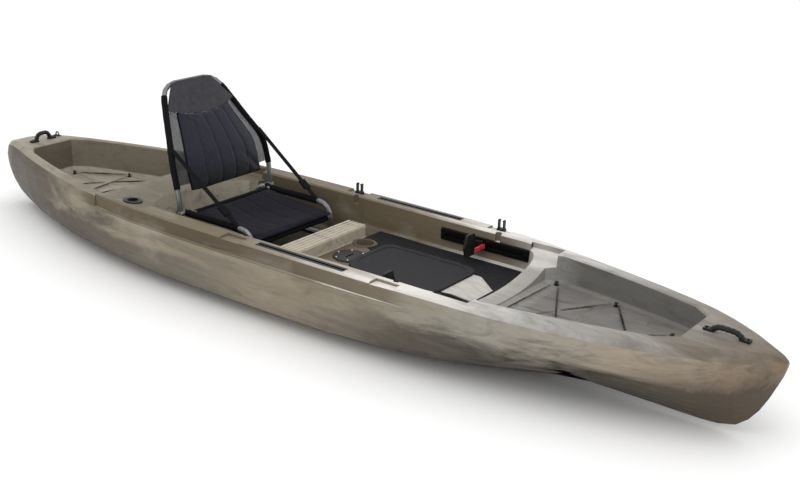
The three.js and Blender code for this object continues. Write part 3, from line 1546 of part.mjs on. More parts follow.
function pivotBolt() {
  const outerY = pivotY + backTube + seatGap;
  const innerY = hoopInner - seatGap;
  return unionOf([
    rod(vec(pivotX, innerY - pivotHead, pivotZ), vec(pivotX, outerY + pivotHead, pivotZ), pivotBoltRadius),
    rod(vec(pivotX, outerY, pivotZ), vec(pivotX, outerY + pivotHead, pivotZ), pivotHeadRadius,
      pivotHeadSides),
    rod(vec(pivotX, innerY - pivotHead, pivotZ), vec(pivotX, innerY, pivotZ), pivotHeadRadius,
      pivotHeadSides),
  ]);
}

// The hoops with a gap round them, for the cross tubes' ends
const crossClearance = unionOf([1, -1].map((hand) => hoopTubes(hand, hoopTube + seatGap)));

addPair('seat_hoop', seatHoop(), 'frame');
addPart('seat_cross_front', crossTubeAt(hoopFrontX, crossFrontZ), 'frame');
addPart('seat_cross_rear', crossTubeAt(crossRearX, hoopTopZ), 'frame');

// Places across a pad, with three points at each seam: its two edges and its bottom.
function acrossPad(seams, widthShare, plain) {
  const shares = [];
  for (let i = 0; i <= plain; i += 1) {
    shares.push([(2 * i) / plain - 1, 0]);
  }
  const near = (s) => seams.some((seam) => Math.abs(s - (2 * seam - 1)) < widthShare * 2);
  const kept = shares.filter(([s], i) => i === 0 || i === plain || !near(s));
  for (const seam of seams) {
    const middle = 2 * seam - 1;
    kept.push([middle - widthShare, 0], [middle, 1], [middle + widthShare, 0]);
  }
  return kept.sort((a, b) => a[0] - b[0]);
}

// The underside has points at the edges and the quarters only.
function isPlain(s) {
  return Number.isInteger(s * 2);
}

function slingRing(x, thin) {
  const share = (x - slingFrontX) / (slingRearX - slingFrontX);
  const top = slingFrontZ + (slingRearZ - slingFrontZ) * share;
  const sagAt = (s) => slingSag * (1 - s * s) * Math.sin(Math.PI * Math.min(Math.max(share, 0), 1));
  const across = acrossPad(slingSeamShares, slingSeamWidthShare, slingPlainSteps);
  const upper = across.map(([s, seam]) => vec(x, s * slingHalfWidth,
    top - sagAt(s) - seam * slingSeamDepth - thin - (Math.abs(s) === 1 ? slingThickness
      * slingEdgeShare : 0)));
  const lower = [...across].reverse().filter(([s, seam]) => seam === 0 && isPlain(s))
    .map(([s]) => vec(x, s * slingHalfWidth, top - sagAt(s) - slingThickness + thin));
  return [...upper, ...lower];
}

function seatSling() {
  const rings = Array.from({ length: slingSteps + 1 }, (_, i) => {
    const x = slingFrontX + (slingRearX - slingFrontX) * (i / slingSteps);
    return slingRing(x, 0);
  });
  const nose = slingThickness * slingNoseShare;
  return loftSolid([slingRing(slingFrontX + nose, nose), ...rings], onSection);
}

addPart('seat_sling', seatSling(), 'cloth');

// Seat back
function frameAt(z) {
  const points = backFramePoints;
  const i = Math.min(Math.max(points.findIndex((p) => p[2] >= z) - 1, 0), points.length - 2);
  const [x0, y0, z0] = points[i];
  const [x1, y1, z1] = points[i + 1];
  const t = (z - z0) / (z1 - z0);
  return { x: x0 + (x1 - x0) * t, y: y0 + (y1 - y0) * t };
}

function frameTube(radius) {
  const half = [[pivotX, pivotY, pivotZ + seatGap], ...backFramePoints];
  return tube([...half.map(([x, y, z]) => vec(x, -y, z)),
    ...half.map(([x, y, z]) => vec(x, y, z)).reverse()], radius);
}

function backFrame() {
  const solids = [frameTube(backTube)];
  const holes = [];
  for (const side of [1, -1]) {
    solids.push(rod(vec(pivotX, side * (pivotY - backTube), pivotZ),
      vec(pivotX, side * (pivotY + backTube), pivotZ),
      pivotEarRadius));
    holes.push(rod(vec(pivotX, side * (pivotY - overrun), pivotZ),
      vec(pivotX, side * (pivotY + overrun), pivotZ),
      pivotHoleRadius));
  }
  return unionOf(solids).subtract(unionOf(holes));
}

const bulgeAt = (share) => backBulge * (1 - share * share);

function backSheet(thickness) {
  const rings = Array.from({ length: backSheetRows + 1 }, (_, i) => {
    const z = backSheetLowZ + (backSheetHighZ - backSheetLowZ) * (i / backSheetRows);
    const { x, y } = frameAt(z);
    const half = y - backTube - backSheetMargin;
    const shares = Array.from({ length: backSheetColumns + 1 },
      (_unused, j) => (2 * j) / backSheetColumns - 1);
    const front = shares.map((s) => vec(x + bulgeAt(s) + thickness / 2, s * half, z));
    const back = [...shares].reverse().map((s) => vec(x + bulgeAt(s) - thickness / 2, s * half, z));
    return [...front, ...back];
  });
  return loftSolid(rings, onPlan);
}

const yokeLowAt = (y) => yokeLowZ + yokeDip * (y / yokeDipReach) ** 2;
const yokeHighAt = curveOf([
  [0, frameTopZ + yokeTopMargin], [yokeTopHalfWidth, frameTopZ + yokeTopMargin],
  [yokeShoulderHalfWidth, yokeShoulderZ], [yokeHalfWidth, yokeLowAt(yokeHalfWidth) + yokeThickness],
]);

function backPad() {
  const across = acrossPad(padSeamShares, padChannelWidthShare, padPlainSteps);
  const inner = Array.from({ length: padRows + 1 },
    (_, i) => [padRowEnd + (1 - 2 * padRowEnd) * (i / padRows), 1]);
  const rows = [[0, padEdgeShare], ...inner, [1, padEdgeShare]];
  const rings = rows.map(([v, full]) => {
    const place = (s) => {
      const z = padLowZ + (padHighZ - padLowZ) * v;
      const { x, y } = frameAt(z);
      const half = (y - backTube - backSheetMargin) * padWaistShare;
      return { x: x + bulgeAt(s * padWaistShare) + backSheetThickness / 2 + padSheetGap, y: s * half, z };
    };
    const front = across.map(([s, seam]) => {
      const { x, y, z } = place(s);
      const side = Math.abs(s) === 1 ? padEdgeShare : 1;
      return vec(x + (padThickness - seam * padChannelDepth) * full * side, y, z);
    });
    const back = [...across].reverse().filter(([s, seam]) => seam === 0 && isPlain(s)).map(([s]) => {
      const { x, y, z } = place(s);
      return vec(x, y, z);
    });
    return [...front, ...back];
  });
  return loftSolid(rings, onPlan);
}

// The space above the yoke's lower edge, which the pad and the mesh keep out of
function yokeRoom() {
  const edge = Array.from({ length: yokeSteps + 1 }, (_, i) => {
    const y = yokeHalfWidth * ((2 * i) / yokeSteps - 1);
    return [y, yokeLowAt(y) - seatGap * 2];
  });
  const high = yokeLowZ + overrun * 4;
  return barAlong([[-halfBeam, edge[0][1]], ...edge, [halfBeam, edge[0][1]], [halfBeam, high],
    [-halfBeam, high]],
    hoopRearX * 2, hoopFrontX);
}

function backYoke() {
  const rings = Array.from({ length: yokeSteps + 1 }, (_, i) => {
    const y = yokeHalfWidth * ((2 * i) / yokeSteps - 1);
    const low = yokeLowAt(y);
    const high = yokeHighAt(Math.abs(y));
    const front = backTube + seatGap + yokeThickness;
    const levels = [0, 1 / 2, 1].map((v) => low + (high - low) * v);
    const xAt = (z) => frameAt(Math.min(z, frameTopZ)).x;
    return [
      ...levels.map((z) => vec(xAt(z) + front, y, z)),
      ...[...levels].reverse().map((z) => vec(xAt(z) + front - yokeThickness, y, z)),
    ];
  });
  return loftSolid(rings, onSide);
}

const frameRoom = frameTube(backTube + seatGap);
addPart('seat_back_frame', backFrame(), 'frame');
addPart('seat_back_pad', backPad().subtract(backSheet(backSheetThickness + seatGap
  * 2)).subtract(yokeRoom()), 'cloth');
addPart('seat_yoke', backYoke().subtract(frameRoom), 'yoke');

// Straps from the back frame to the hoops, each with a buckle
function band(points, width, thickness) {
  const rings = points.map((p, i) => {
    const before = points[Math.max(i - 1, 0)];
    const after = points[Math.min(i + 1, points.length - 1)];
    const along = after.clone().sub(before).normalize();
    const normal = vec(0, 1, 0).cross(along).normalize().multiplyScalar(thickness / 2);
    const wide = vec(0, width / 2, 0);
    return [
      p.clone().add(wide).add(normal), p.clone().sub(wide).add(normal),
      p.clone().sub(wide).sub(normal), p.clone().add(wide).sub(normal),
    ];
  });
  return loftSolid(rings, onSection);
}

const strapTubeLow = vec(...backFramePoints[strapTubeIndex]);
const strapTubeHigh = vec(...backFramePoints[strapTubeIndex + 1]);
const strapTopCentre = strapTubeLow.clone().lerp(strapTubeHigh, 1 / 2);
const strapAlongTube = strapTubeHigh.clone().sub(strapTubeLow).normalize();
const strapLowCentre = vec(strapLowX, hoopY, hoopTopZ);
const strapTop = strapTopCentre.clone()
  .addScaledVector(vec(0, 1, 0).cross(strapAlongTube).normalize(), backTube + strapSleeve);
const strapEnd = strapLowCentre.clone().add(vec(0, 0, hoopTube + strapSleeve));

function sleeve(centre, along, radius) {
  const start = centre.clone().addScaledVector(along, -strapWidth / 2);
  const end = centre.clone().addScaledVector(along, strapWidth / 2);
  const solid = rod(start, end, radius + seatGap * 2 + strapThickness);
  const cut = rod(start.clone().addScaledVector(along, -overrun),
    end.clone().addScaledVector(along, overrun),
    (radius + seatGap * 2) / Math.cos(Math.PI / tubeSides));
  return solid.subtract(cut);
}

function seatStrap() {
  return unionOf([
    sleeve(strapTopCentre, strapAlongTube, backTube), sleeve(strapLowCentre, vec(1, 0, 0), hoopTube),
    band([strapTop, strapEnd], strapWidth, strapThickness),
  ]);
}

function strapBuckle() {
  const length = strapTop.distanceTo(strapEnd);
  const at = (offset) => strapTop.clone().lerp(strapEnd, buckleAlongShare + offset / length);
  return band([at(-buckleLength / 2), at(buckleLength / 2)], buckleWidth, buckleThickness).subtract(
    band([at(-buckleLength), at(buckleLength)], strapWidth + seatGap * 2, strapThickness + seatGap * 2),
  );
}

// The mesh keeps off the frame and off the straps' sleeves.
const sleeveRoom = rod(strapTopCentre.clone().addScaledVector(strapAlongTube,
  -strapWidth / 2 - seatGap * 2),
  strapTopCentre.clone().addScaledVector(strapAlongTube, strapWidth / 2 + seatGap * 2),
  backTube + strapThickness + seatGap * 4);
const sleeveRoomAcross = placed(sleeveRoom, new THREE.Matrix4().makeScale(1, -1, 1));
const meshKeepOff = unionOf([frameRoom, sleeveRoom, sleeveRoomAcross, yokeRoom()]);
addPart('seat_back_mesh', backSheet(backSheetThickness).subtract(meshKeepOff), 'mesh');
addPair('seat_strap', seatStrap(), 'web');
addPair('strap_buckle', strapBuckle(), 'plastic');
addPair('seat_pivot_bolt', pivotBolt(), 'steel');

export default group;
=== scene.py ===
"""Looks, light and camera for the fishing kayak. Lengths are in metres, +X is the bow, +Y is port."""

import json
import math

import bmesh
import bpy
from mathutils import Matrix, Vector, noise


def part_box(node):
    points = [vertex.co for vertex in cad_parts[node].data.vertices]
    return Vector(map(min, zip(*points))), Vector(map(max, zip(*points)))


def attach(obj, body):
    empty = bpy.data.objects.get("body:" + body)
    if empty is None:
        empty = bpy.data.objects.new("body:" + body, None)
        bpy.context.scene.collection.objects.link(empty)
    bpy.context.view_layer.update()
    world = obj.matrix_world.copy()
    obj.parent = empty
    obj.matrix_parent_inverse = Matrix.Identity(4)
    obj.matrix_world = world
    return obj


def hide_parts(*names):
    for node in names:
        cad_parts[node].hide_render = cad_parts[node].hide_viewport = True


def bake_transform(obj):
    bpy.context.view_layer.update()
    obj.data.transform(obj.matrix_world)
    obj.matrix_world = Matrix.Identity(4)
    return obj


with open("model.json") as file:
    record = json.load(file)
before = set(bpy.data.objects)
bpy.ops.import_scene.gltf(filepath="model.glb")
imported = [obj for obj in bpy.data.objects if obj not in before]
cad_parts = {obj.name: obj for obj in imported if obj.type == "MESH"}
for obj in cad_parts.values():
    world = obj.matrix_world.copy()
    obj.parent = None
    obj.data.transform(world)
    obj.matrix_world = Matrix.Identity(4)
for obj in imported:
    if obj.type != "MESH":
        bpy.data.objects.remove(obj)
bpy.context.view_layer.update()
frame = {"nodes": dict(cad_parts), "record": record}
nodes = frame["nodes"]

# Camera, as the photograph was taken
CAMERA_AT = Vector((2.778, -3.290, 1.789))
CAMERA_AZIMUTH = 35.80
CAMERA_ELEVATION = 20.37
CAMERA_ROLL = 2.02
CAMERA_LENS = 54.18
CAMERA_FAR = 200
SENSOR_WIDTH = 36.0

# Light and floor. The sky's stops give its brightness from straight below to straight above.
SKY_STOPS = [(0.0, 0.6), (0.5, 0.78), (1.0, 1.22)]
BACKGROUND_WHITE = (1.0, 1.0, 1.0, 1.0)
KEY_AT = Vector((0.6, -1.6, 4.2))
KEY_AIM = Vector((0.2, 0, 0.2))
KEY_SIZE = 3.4
KEY_WATTS = 40
FLOOR_SIZE = 60
FLOOR_DROP = 0.0006
FLOOR_COLOUR = (0.94, 0.94, 0.94)

# Shell colours from stern to bow, each at its place along X: of the hull's side high up and low down,
# of the deck and gunwales, of the floors, of the walls of the wells and of the dark band that runs
# below the gunwale amidships. Besides the plastic's own tones they hold painted shade: the side is
# darker low down where it curves under, the band darker in its recess, the walls and floors darker
# deep in the wells and round the seat, and the deck darker just aft of the seat
SHELL_HALF_LENGTH = 1.83
SIDE_HIGH_STOPS = [
    (-1.83, (0.045, 0.032, 0.016)),
    (-1.2, (0.07, 0.05, 0.03)),
    (-0.85, (0.28, 0.238, 0.168)),
    (-0.4, (0.29, 0.24, 0.168)),
    (0.1, (0.21, 0.168, 0.108)),
    (0.6, (0.25, 0.222, 0.162)),
    (0.95, (0.29, 0.275, 0.235)),
    (1.45, (0.33, 0.275, 0.207)),
    (1.83, (0.17, 0.108, 0.062)),
]
# Low down: the plastic's tones, darker partly as painted shade where the hull curves under
SIDE_LOW_TONE_AND_SHADE_STOPS = [
    (-1.83, (0.034, 0.026, 0.017)),
    (-1.1, (0.072, 0.054, 0.036)),
    (-0.8, (0.112, 0.088, 0.062)),
    (-0.4, (0.145, 0.126, 0.094)),
    (0.1, (0.27, 0.225, 0.165)),
    (0.35, (0.23, 0.19, 0.145)),
    (0.6, (0.09, 0.075, 0.055)),
    (1.1, (0.02, 0.015, 0.008)),
    (1.5, (0.07, 0.055, 0.034)),
    (1.83, (0.07, 0.047, 0.029)),
]
# The deck and gunwales: their tones, darker just aft of the seat partly as painted shade
TOP_TONE_AND_SHADE_STOPS = [
    (-1.83, (0.27, 0.24, 0.18)),
    (-1.1, (0.28, 0.25, 0.195)),
    (-0.75, (0.145, 0.12, 0.077)),
    (-0.1, (0.17, 0.14, 0.092)),
    (0.3, (0.29, 0.255, 0.205)),
    (0.62, (0.74, 0.7, 0.65)),
    (1.1, (0.38, 0.37, 0.355)),
    (1.45, (0.22, 0.2, 0.175)),
    (1.83, (0.12, 0.086, 0.055)),
]
# The floors: their tones, darker under the seat and in the bow well partly as painted shade
FLOOR_TONE_AND_SHADE_STOPS = [
    (-1.83, (0.34, 0.3, 0.24)),
    (-1.06, (0.32, 0.285, 0.23)),
    (-0.96, (0.2, 0.17, 0.115)),
    (-0.76, (0.15, 0.122, 0.075)),
    (-0.68, (0.11, 0.092, 0.055)),
    (-0.03, (0.09, 0.078, 0.048)),
    (0.12, (0.11, 0.08, 0.05)),
    (0.3, (0.13, 0.1, 0.067)),
    (0.6, (0.46, 0.44, 0.4)),
    (0.75, (0.52, 0.5, 0.47)),
    (0.81, (0.34, 0.325, 0.3)),
    (0.88, (0.3, 0.29, 0.27)),
    (0.94, (0.16, 0.152, 0.145)),
    (1.83, (0.13, 0.124, 0.116)),
]
# Inside the wells: the walls' tones, darker partly as painted shade deep in the wells
WALL_TONE_AND_SHADE_STOPS = [
    (-1.83, (0.2, 0.178, 0.14)),
    (-1.0, (0.185, 0.16, 0.12)),
    (-0.6, (0.1, 0.083, 0.05)),
    (0.0, (0.13, 0.102, 0.062)),
    (0.3, (0.16, 0.125, 0.075)),
    (0.66, (0.2, 0.168, 0.118)),
    (0.8, (0.44, 0.43, 0.405)),
    (1.0, (0.15, 0.146, 0.138)),
    (1.83, (0.14, 0.134, 0.122)),
]
# The band's tones, darker partly as painted shade in its recess under the gunwale
BAND_TONE_AND_SHADE_STOPS = [
    (-0.86, (0.08, 0.056, 0.024)),
    (-0.2, (0.054, 0.034, 0.012)),
    (0.25, (0.1, 0.075, 0.042)),
    (0.62, (0.15, 0.12, 0.082)),
]
SHELL_SMOKE = (0.085, 0.072, 0.052)
SHELL_PALE = (0.47, 0.44, 0.38)
SHELL_SHINE = 0.34
SHELL_ROUGHNESS = (0.42, 0.58)
SHELL_EDGE_RADIUS = 0.006

# Where the shell's regions lie, how softly each ends and how strongly it colours. Upward and forward
# are parts of a face's normal. The block is the ridged one in front of the seat, the aft wall is
# that of the seat's well, and the calm region round the bulkhead has little smoke.
OUTWARD_FADE = 0.004
UPWARD_FROM, UPWARD_TO = 0.24, 0.42
# Heights over which the side goes from its low colours, partly painted shade, to its high ones
SIDE_SPLIT_LOW, SIDE_SPLIT_HIGH = 0.15, 0.235
BAND_FROM, BAND_TO = -0.86, 0.62
BAND_LOW, BAND_HIGH = 0.257, 0.309
BAND_END_FADE, BAND_EDGE_FADE = 0.09, 0.002
BAND_STRENGTH = 0.92
BLOCK_TAN = (0.56, 0.5, 0.4)
BLOCK_REAR, BLOCK_FRONT, BLOCK_HALF_WIDTH = -0.004, 0.086, 0.213
BLOCK_FADE = 0.004
BLOCK_STRENGTH = 0.8
# The aft wall's faces that look forward get a light tan: the wall's tan with painted light
AFT_WALL_LIT_TAN = (0.75, 0.69, 0.55)
AFT_WALL_REAR, AFT_WALL_FRONT = -0.73, -0.44
AFT_WALL_FADE = 0.01
FORWARD_FROM, FORWARD_TO = 0.3, 0.6
CALM_REAR, CALM_FRONT = 0.63, 0.88
CALM_FADE = 0.03
CALM_STRENGTH = 0.85
FLOOR_TOP = 0.262
FLOOR_FADE = 0.01

# The shell's pattern: how each noise is drawn out, and how far the streaks carry a colour along the
# hull and up it
STREAK_STRETCH = (0.5, 2.2, 2.6)
STREAK_SLANT = math.radians(9)
CLOUD_STRETCH = (1.0, 1.6, 1.8)
FAR_DRIFT, NEAR_DRIFT, HEIGHT_DRIFT = 0.2, 0.03, 0.085

# Spans of a noise or a wave: from and to, and what these become
NOISE_MIDDLE = (0.3, 0.7)
SMOKE_SPAN = (0.5, 0.7, 0.0, 0.5)
CLOUD_SPAN = (0.56, 0.8, 0.0, 0.3)
SPECK_SPAN = (0.45, 0.75, 0.0, 0.2)
DUST_SPAN = (0.4, 0.75)
RUB_SPAN = (0.45, 0.8, 0.0, 0.5)
FLECK_SPAN = (0.5, 0.76, 0.0, 0.6)
SCUFF_SPAN = (0.45, 0.8, 0.0, 0.6)
WEB_FLECK_SPAN = (0.5, 0.8, 0.0, 0.5)
BRAID_SPAN = (0.5, 1.0, 0.0, 0.5)
RIB_TOP_SPAN = (0.7, 0.95, 0.0, 0.7)
THREAD_SPAN = (0.2, 0.6)
HOLE_SPAN = (0.62, 0.72, 1.0, 0.2)

# Bumps: strength and depth
SHELL_GRAIN_BUMP = (0.16, 0.0006)
SHELL_CLOUD_BUMP = (0.2, 0.004)
PLASTIC_GRAIN_DEPTH = 0.0004
METAL_BUMP = (0.06, 0.0003)
METAL_EDGE_RADIUS = 0.001
THREAD_BUMP = (0.5, 0.0005)
CLOTH_BUMP = (0.35, 0.004)
PORE_BUMP = (0.3, 0.0005)
WEB_BUMP = (0.5, 0.0006)
MESH_BUMP = (0.6, 0.0008)
BRAID_BUMP = (0.5, 0.0008)

# Colours of the fittings and the cloths
CHARCOAL = (0.0125, 0.0125, 0.0145)
BLACK = (0.009, 0.009, 0.01)
TRACK_BLACK = (0.012, 0.012, 0.013)
LEVER_RED = (0.52, 0.028, 0.036)
STEEL = (0.55, 0.55, 0.56)
GUNMETAL = (0.2, 0.205, 0.215)
WEB_BLACK = (0.005, 0.005, 0.006)
CLOTH_NAVY = (0.0155, 0.0165, 0.0265)
CLOTH_FLECK = (0.045, 0.05, 0.066)
# The sling's colours: the seat cloth painted darker, as painted shade on the sling that faces up
SLING_SHADED_NAVY = (0.0048, 0.0046, 0.0098)
SLING_SHADED_FLECK = (0.016, 0.016, 0.026)
MESH_BLACK = (0.02, 0.02, 0.023)
MESH_GREY = (0.05, 0.051, 0.056)
YOKE_GREY = (0.022, 0.0215, 0.0265)
MAT_DARK = (0.0075, 0.0075, 0.0085)
MAT_WORN = (0.024, 0.024, 0.027)
MAT_RIB = (0.034, 0.033, 0.037)
WEB_WORN = (0.014, 0.014, 0.017)
BRAID_WORN = (0.014, 0.014, 0.016)

# How the rub marks and flecks are drawn out, and the heights between which painted shade darkens the
# back's cloth, where the pad curves under
METAL_BRUSH = (6.0, 420.0, 420.0)
FLECK_STRETCH = (1.0, 0.35, 1.0)
CLOTH_SHADE_LOW, CLOTH_SHADE_HIGH = 0.375, 0.46

# Threads lie about one pitch apart, ribs and bands about a third of their length
WEAVE_PITCH = 0.0016
MESH_PITCH = 0.0042
PITCH_FACTOR = 3.0
WEB_RIB_LENGTH = 0.006
BRAID_BAND_LENGTH = 0.009

# Edges sharper than these angles, in degrees, stay sharp
HARD_ANGLE = 38
STRAP_ANGLE = 50
SOFT_ANGLE = 180

# Soft goods: the swell of each pad and how far it may move, and the seams that are drawn in after it
VOXEL = 0.005
PAD_PRESSURE = 4.0
SIM_FRAMES = 20
CLOTH_QUALITY = 5
PAD_CAP = 0.009
PAD_BACK_FACING, PAD_FRONT_FACING = -0.5, 0.2
PAD_ROW_STEP = 0.02
PAD_LOW_MARGIN, PAD_HIGH_MARGIN = 0.004, 0.03
PAD_SEAMS = (-0.6, -0.2, 0.2, 0.6)
PAD_SEAM_DEPTH = 0.0034
PAD_SEAM_WIDTH = 0.0055
SLING_CAP = 0.005
SLING_UNDER_FACING = -0.4
WRINKLE_PITCH = 0.06
WRINKLE_DEPTH = 0.0008
PIPING_RADIUS = 0.0036
PIPING_SPOTS = 120
PIPING_LEAST_STEP = 0.006
PIPING_ROUNDNESS = 3

# Straps and bungees
STRAP_STEP = 0.012
STRAP_EDGE = 0.0005
BUNGEE_SWELL = 0.0012

# Sleeves on the seat's tubes, and the mesh between those of the back
SLEEVE_RADIUS = 0.0124
SLEEVE_LOW, SLEEVE_HIGH = 0.384, 0.7
SLEEVE_STEP = 0.016
SLEEVE_ROUNDNESS = 4
SLEEVE_RIPPLE = 0.03
SLEEVE_RIPPLE_TURN = 2.1
RAIL_SLEEVE_RADIUS = 0.0132
RAIL_SLEEVE_REAR, RAIL_SLEEVE_FRONT = -0.452, -0.172
RAIL_SLEEVE_STEP = 0.02
RAIL_LOW_Z = 0.24
CROSS_SLEEVE_RADIUS = 0.0106
CROSS_SLEEVE_REACH = 0.2
BACK_BULGE = 0.010
SHEET_INSET = 0.011
SHEET_LOW_MARGIN = 0.006
SHEET_ROWS, SHEET_COLUMNS = 28, 24

# Floor mat's ribs
RIB_PITCH = 0.009
RIB_DEPTH = 0.0012
RIB_LINE_SLACK = 0.02


class Shader:
    """A node material with short calls for the nodes that the materials below share."""

    def __init__(self, name):
        self.material = bpy.data.materials.new(name)
        self.material.use_nodes = True
        self.tree = self.material.node_tree
        self.bsdf = self.tree.nodes["Principled BSDF"]
        self.where = self.node("ShaderNodeTexCoord").outputs["Object"]

    def node(self, kind, **settings):
        made = self.tree.nodes.new(kind)
        for key, value in settings.items():
            setattr(made, key, value)
        return made

    def join(self, source, target):
        if isinstance(source, bpy.types.NodeSocket):
            self.tree.links.new(source, target)
        elif isinstance(source, tuple) and len(source) == 3 and target.type == "RGBA":
            target.default_value = (*source, 1.0)
        else:
            target.default_value = source

    def set(self, **inputs):
        for key, value in inputs.items():
            self.join(value, self.bsdf.inputs[key.replace("_", " ")])

    def scaled(self, scale, turn=(0.0, 0.0, 0.0)):
        mapping = self.node("ShaderNodeMapping")
        self.join(self.where, mapping.inputs["Vector"])
        mapping.inputs["Scale"].default_value = scale
        mapping.inputs["Rotation"].default_value = turn
        return mapping.outputs["Vector"]

    def noise(self, scale, detail=4.0, rough=0.55, twist=0.0, source=None):
        made = self.node("ShaderNodeTexNoise")
        self.join(source or self.where, made.inputs["Vector"])
        made.inputs["Scale"].default_value = scale
        made.inputs["Detail"].default_value = detail
        made.inputs["Roughness"].default_value = rough
        made.inputs["Distortion"].default_value = twist
        return made.outputs["Fac"]

    def wave(self, scale, direction, source=None):
        made = self.node("ShaderNodeTexWave", bands_direction=direction)
        self.join(source or self.where, made.inputs["Vector"])
        made.inputs["Scale"].default_value = scale
        return made.outputs["Fac"]

    def axis(self, name):
        parts = self.node("ShaderNodeSeparateXYZ")
        self.join(self.where, parts.inputs["Vector"])
        return parts.outputs[name]

    def math(self, operation, a, b=0.0):
        made = self.node("ShaderNodeMath", operation=operation)
        self.join(a, made.inputs[0])
        self.join(b, made.inputs[1])
        return made.outputs["Value"]

    def span(self, value, low, high, to_low=0.0, to_high=1.0):
        made = self.node("ShaderNodeMapRange")
        self.join(value, made.inputs["Value"])
        made.inputs["From Min"].default_value = low
        made.inputs["From Max"].default_value = high
        made.inputs["To Min"].default_value = to_low
        made.inputs["To Max"].default_value = to_high
        return made.outputs["Result"]

    def within(self, value, low, high, soft):
        """One from low to high, fading to nothing over the soft length outside each end."""
        rise = self.span(value, low - soft, low)
        return self.math("MULTIPLY", rise, self.span(value, high, high + soft, 1.0, 0.0))

    def mix(self, share, a, b):
        made = self.node("ShaderNodeMix", data_type="RGBA")
        self.join(share, made.inputs["Factor"])
        self.join(a, made.inputs["A"])
        self.join(b, made.inputs["B"])
        return made.outputs["Result"]

    def ramp(self, value, stops):
        made = self.node("ShaderNodeValToRGB")
        self.join(value, made.inputs["Fac"])
        items = made.color_ramp.elements
        while len(items) < len(stops):
            items.new(0.5)
        for item, (place, colour) in zip(items, stops):
            item.position = place
            item.color = (*colour, 1.0)
        return made.outputs["Color"]

    def bump(self, height, strength, distance, under=None):
        made = self.node("ShaderNodeBump")
        made.inputs["Strength"].default_value = strength
        made.inputs["Distance"].default_value = distance
        self.join(height, made.inputs["Height"])
        if under is not None:
            self.join(under, made.inputs["Normal"])
        return made.outputs["Normal"]

    def round_edges(self, radius):
        made = self.node("ShaderNodeBevel", samples=6)
        made.inputs["Radius"].default_value = radius
        return made.outputs["Normal"]


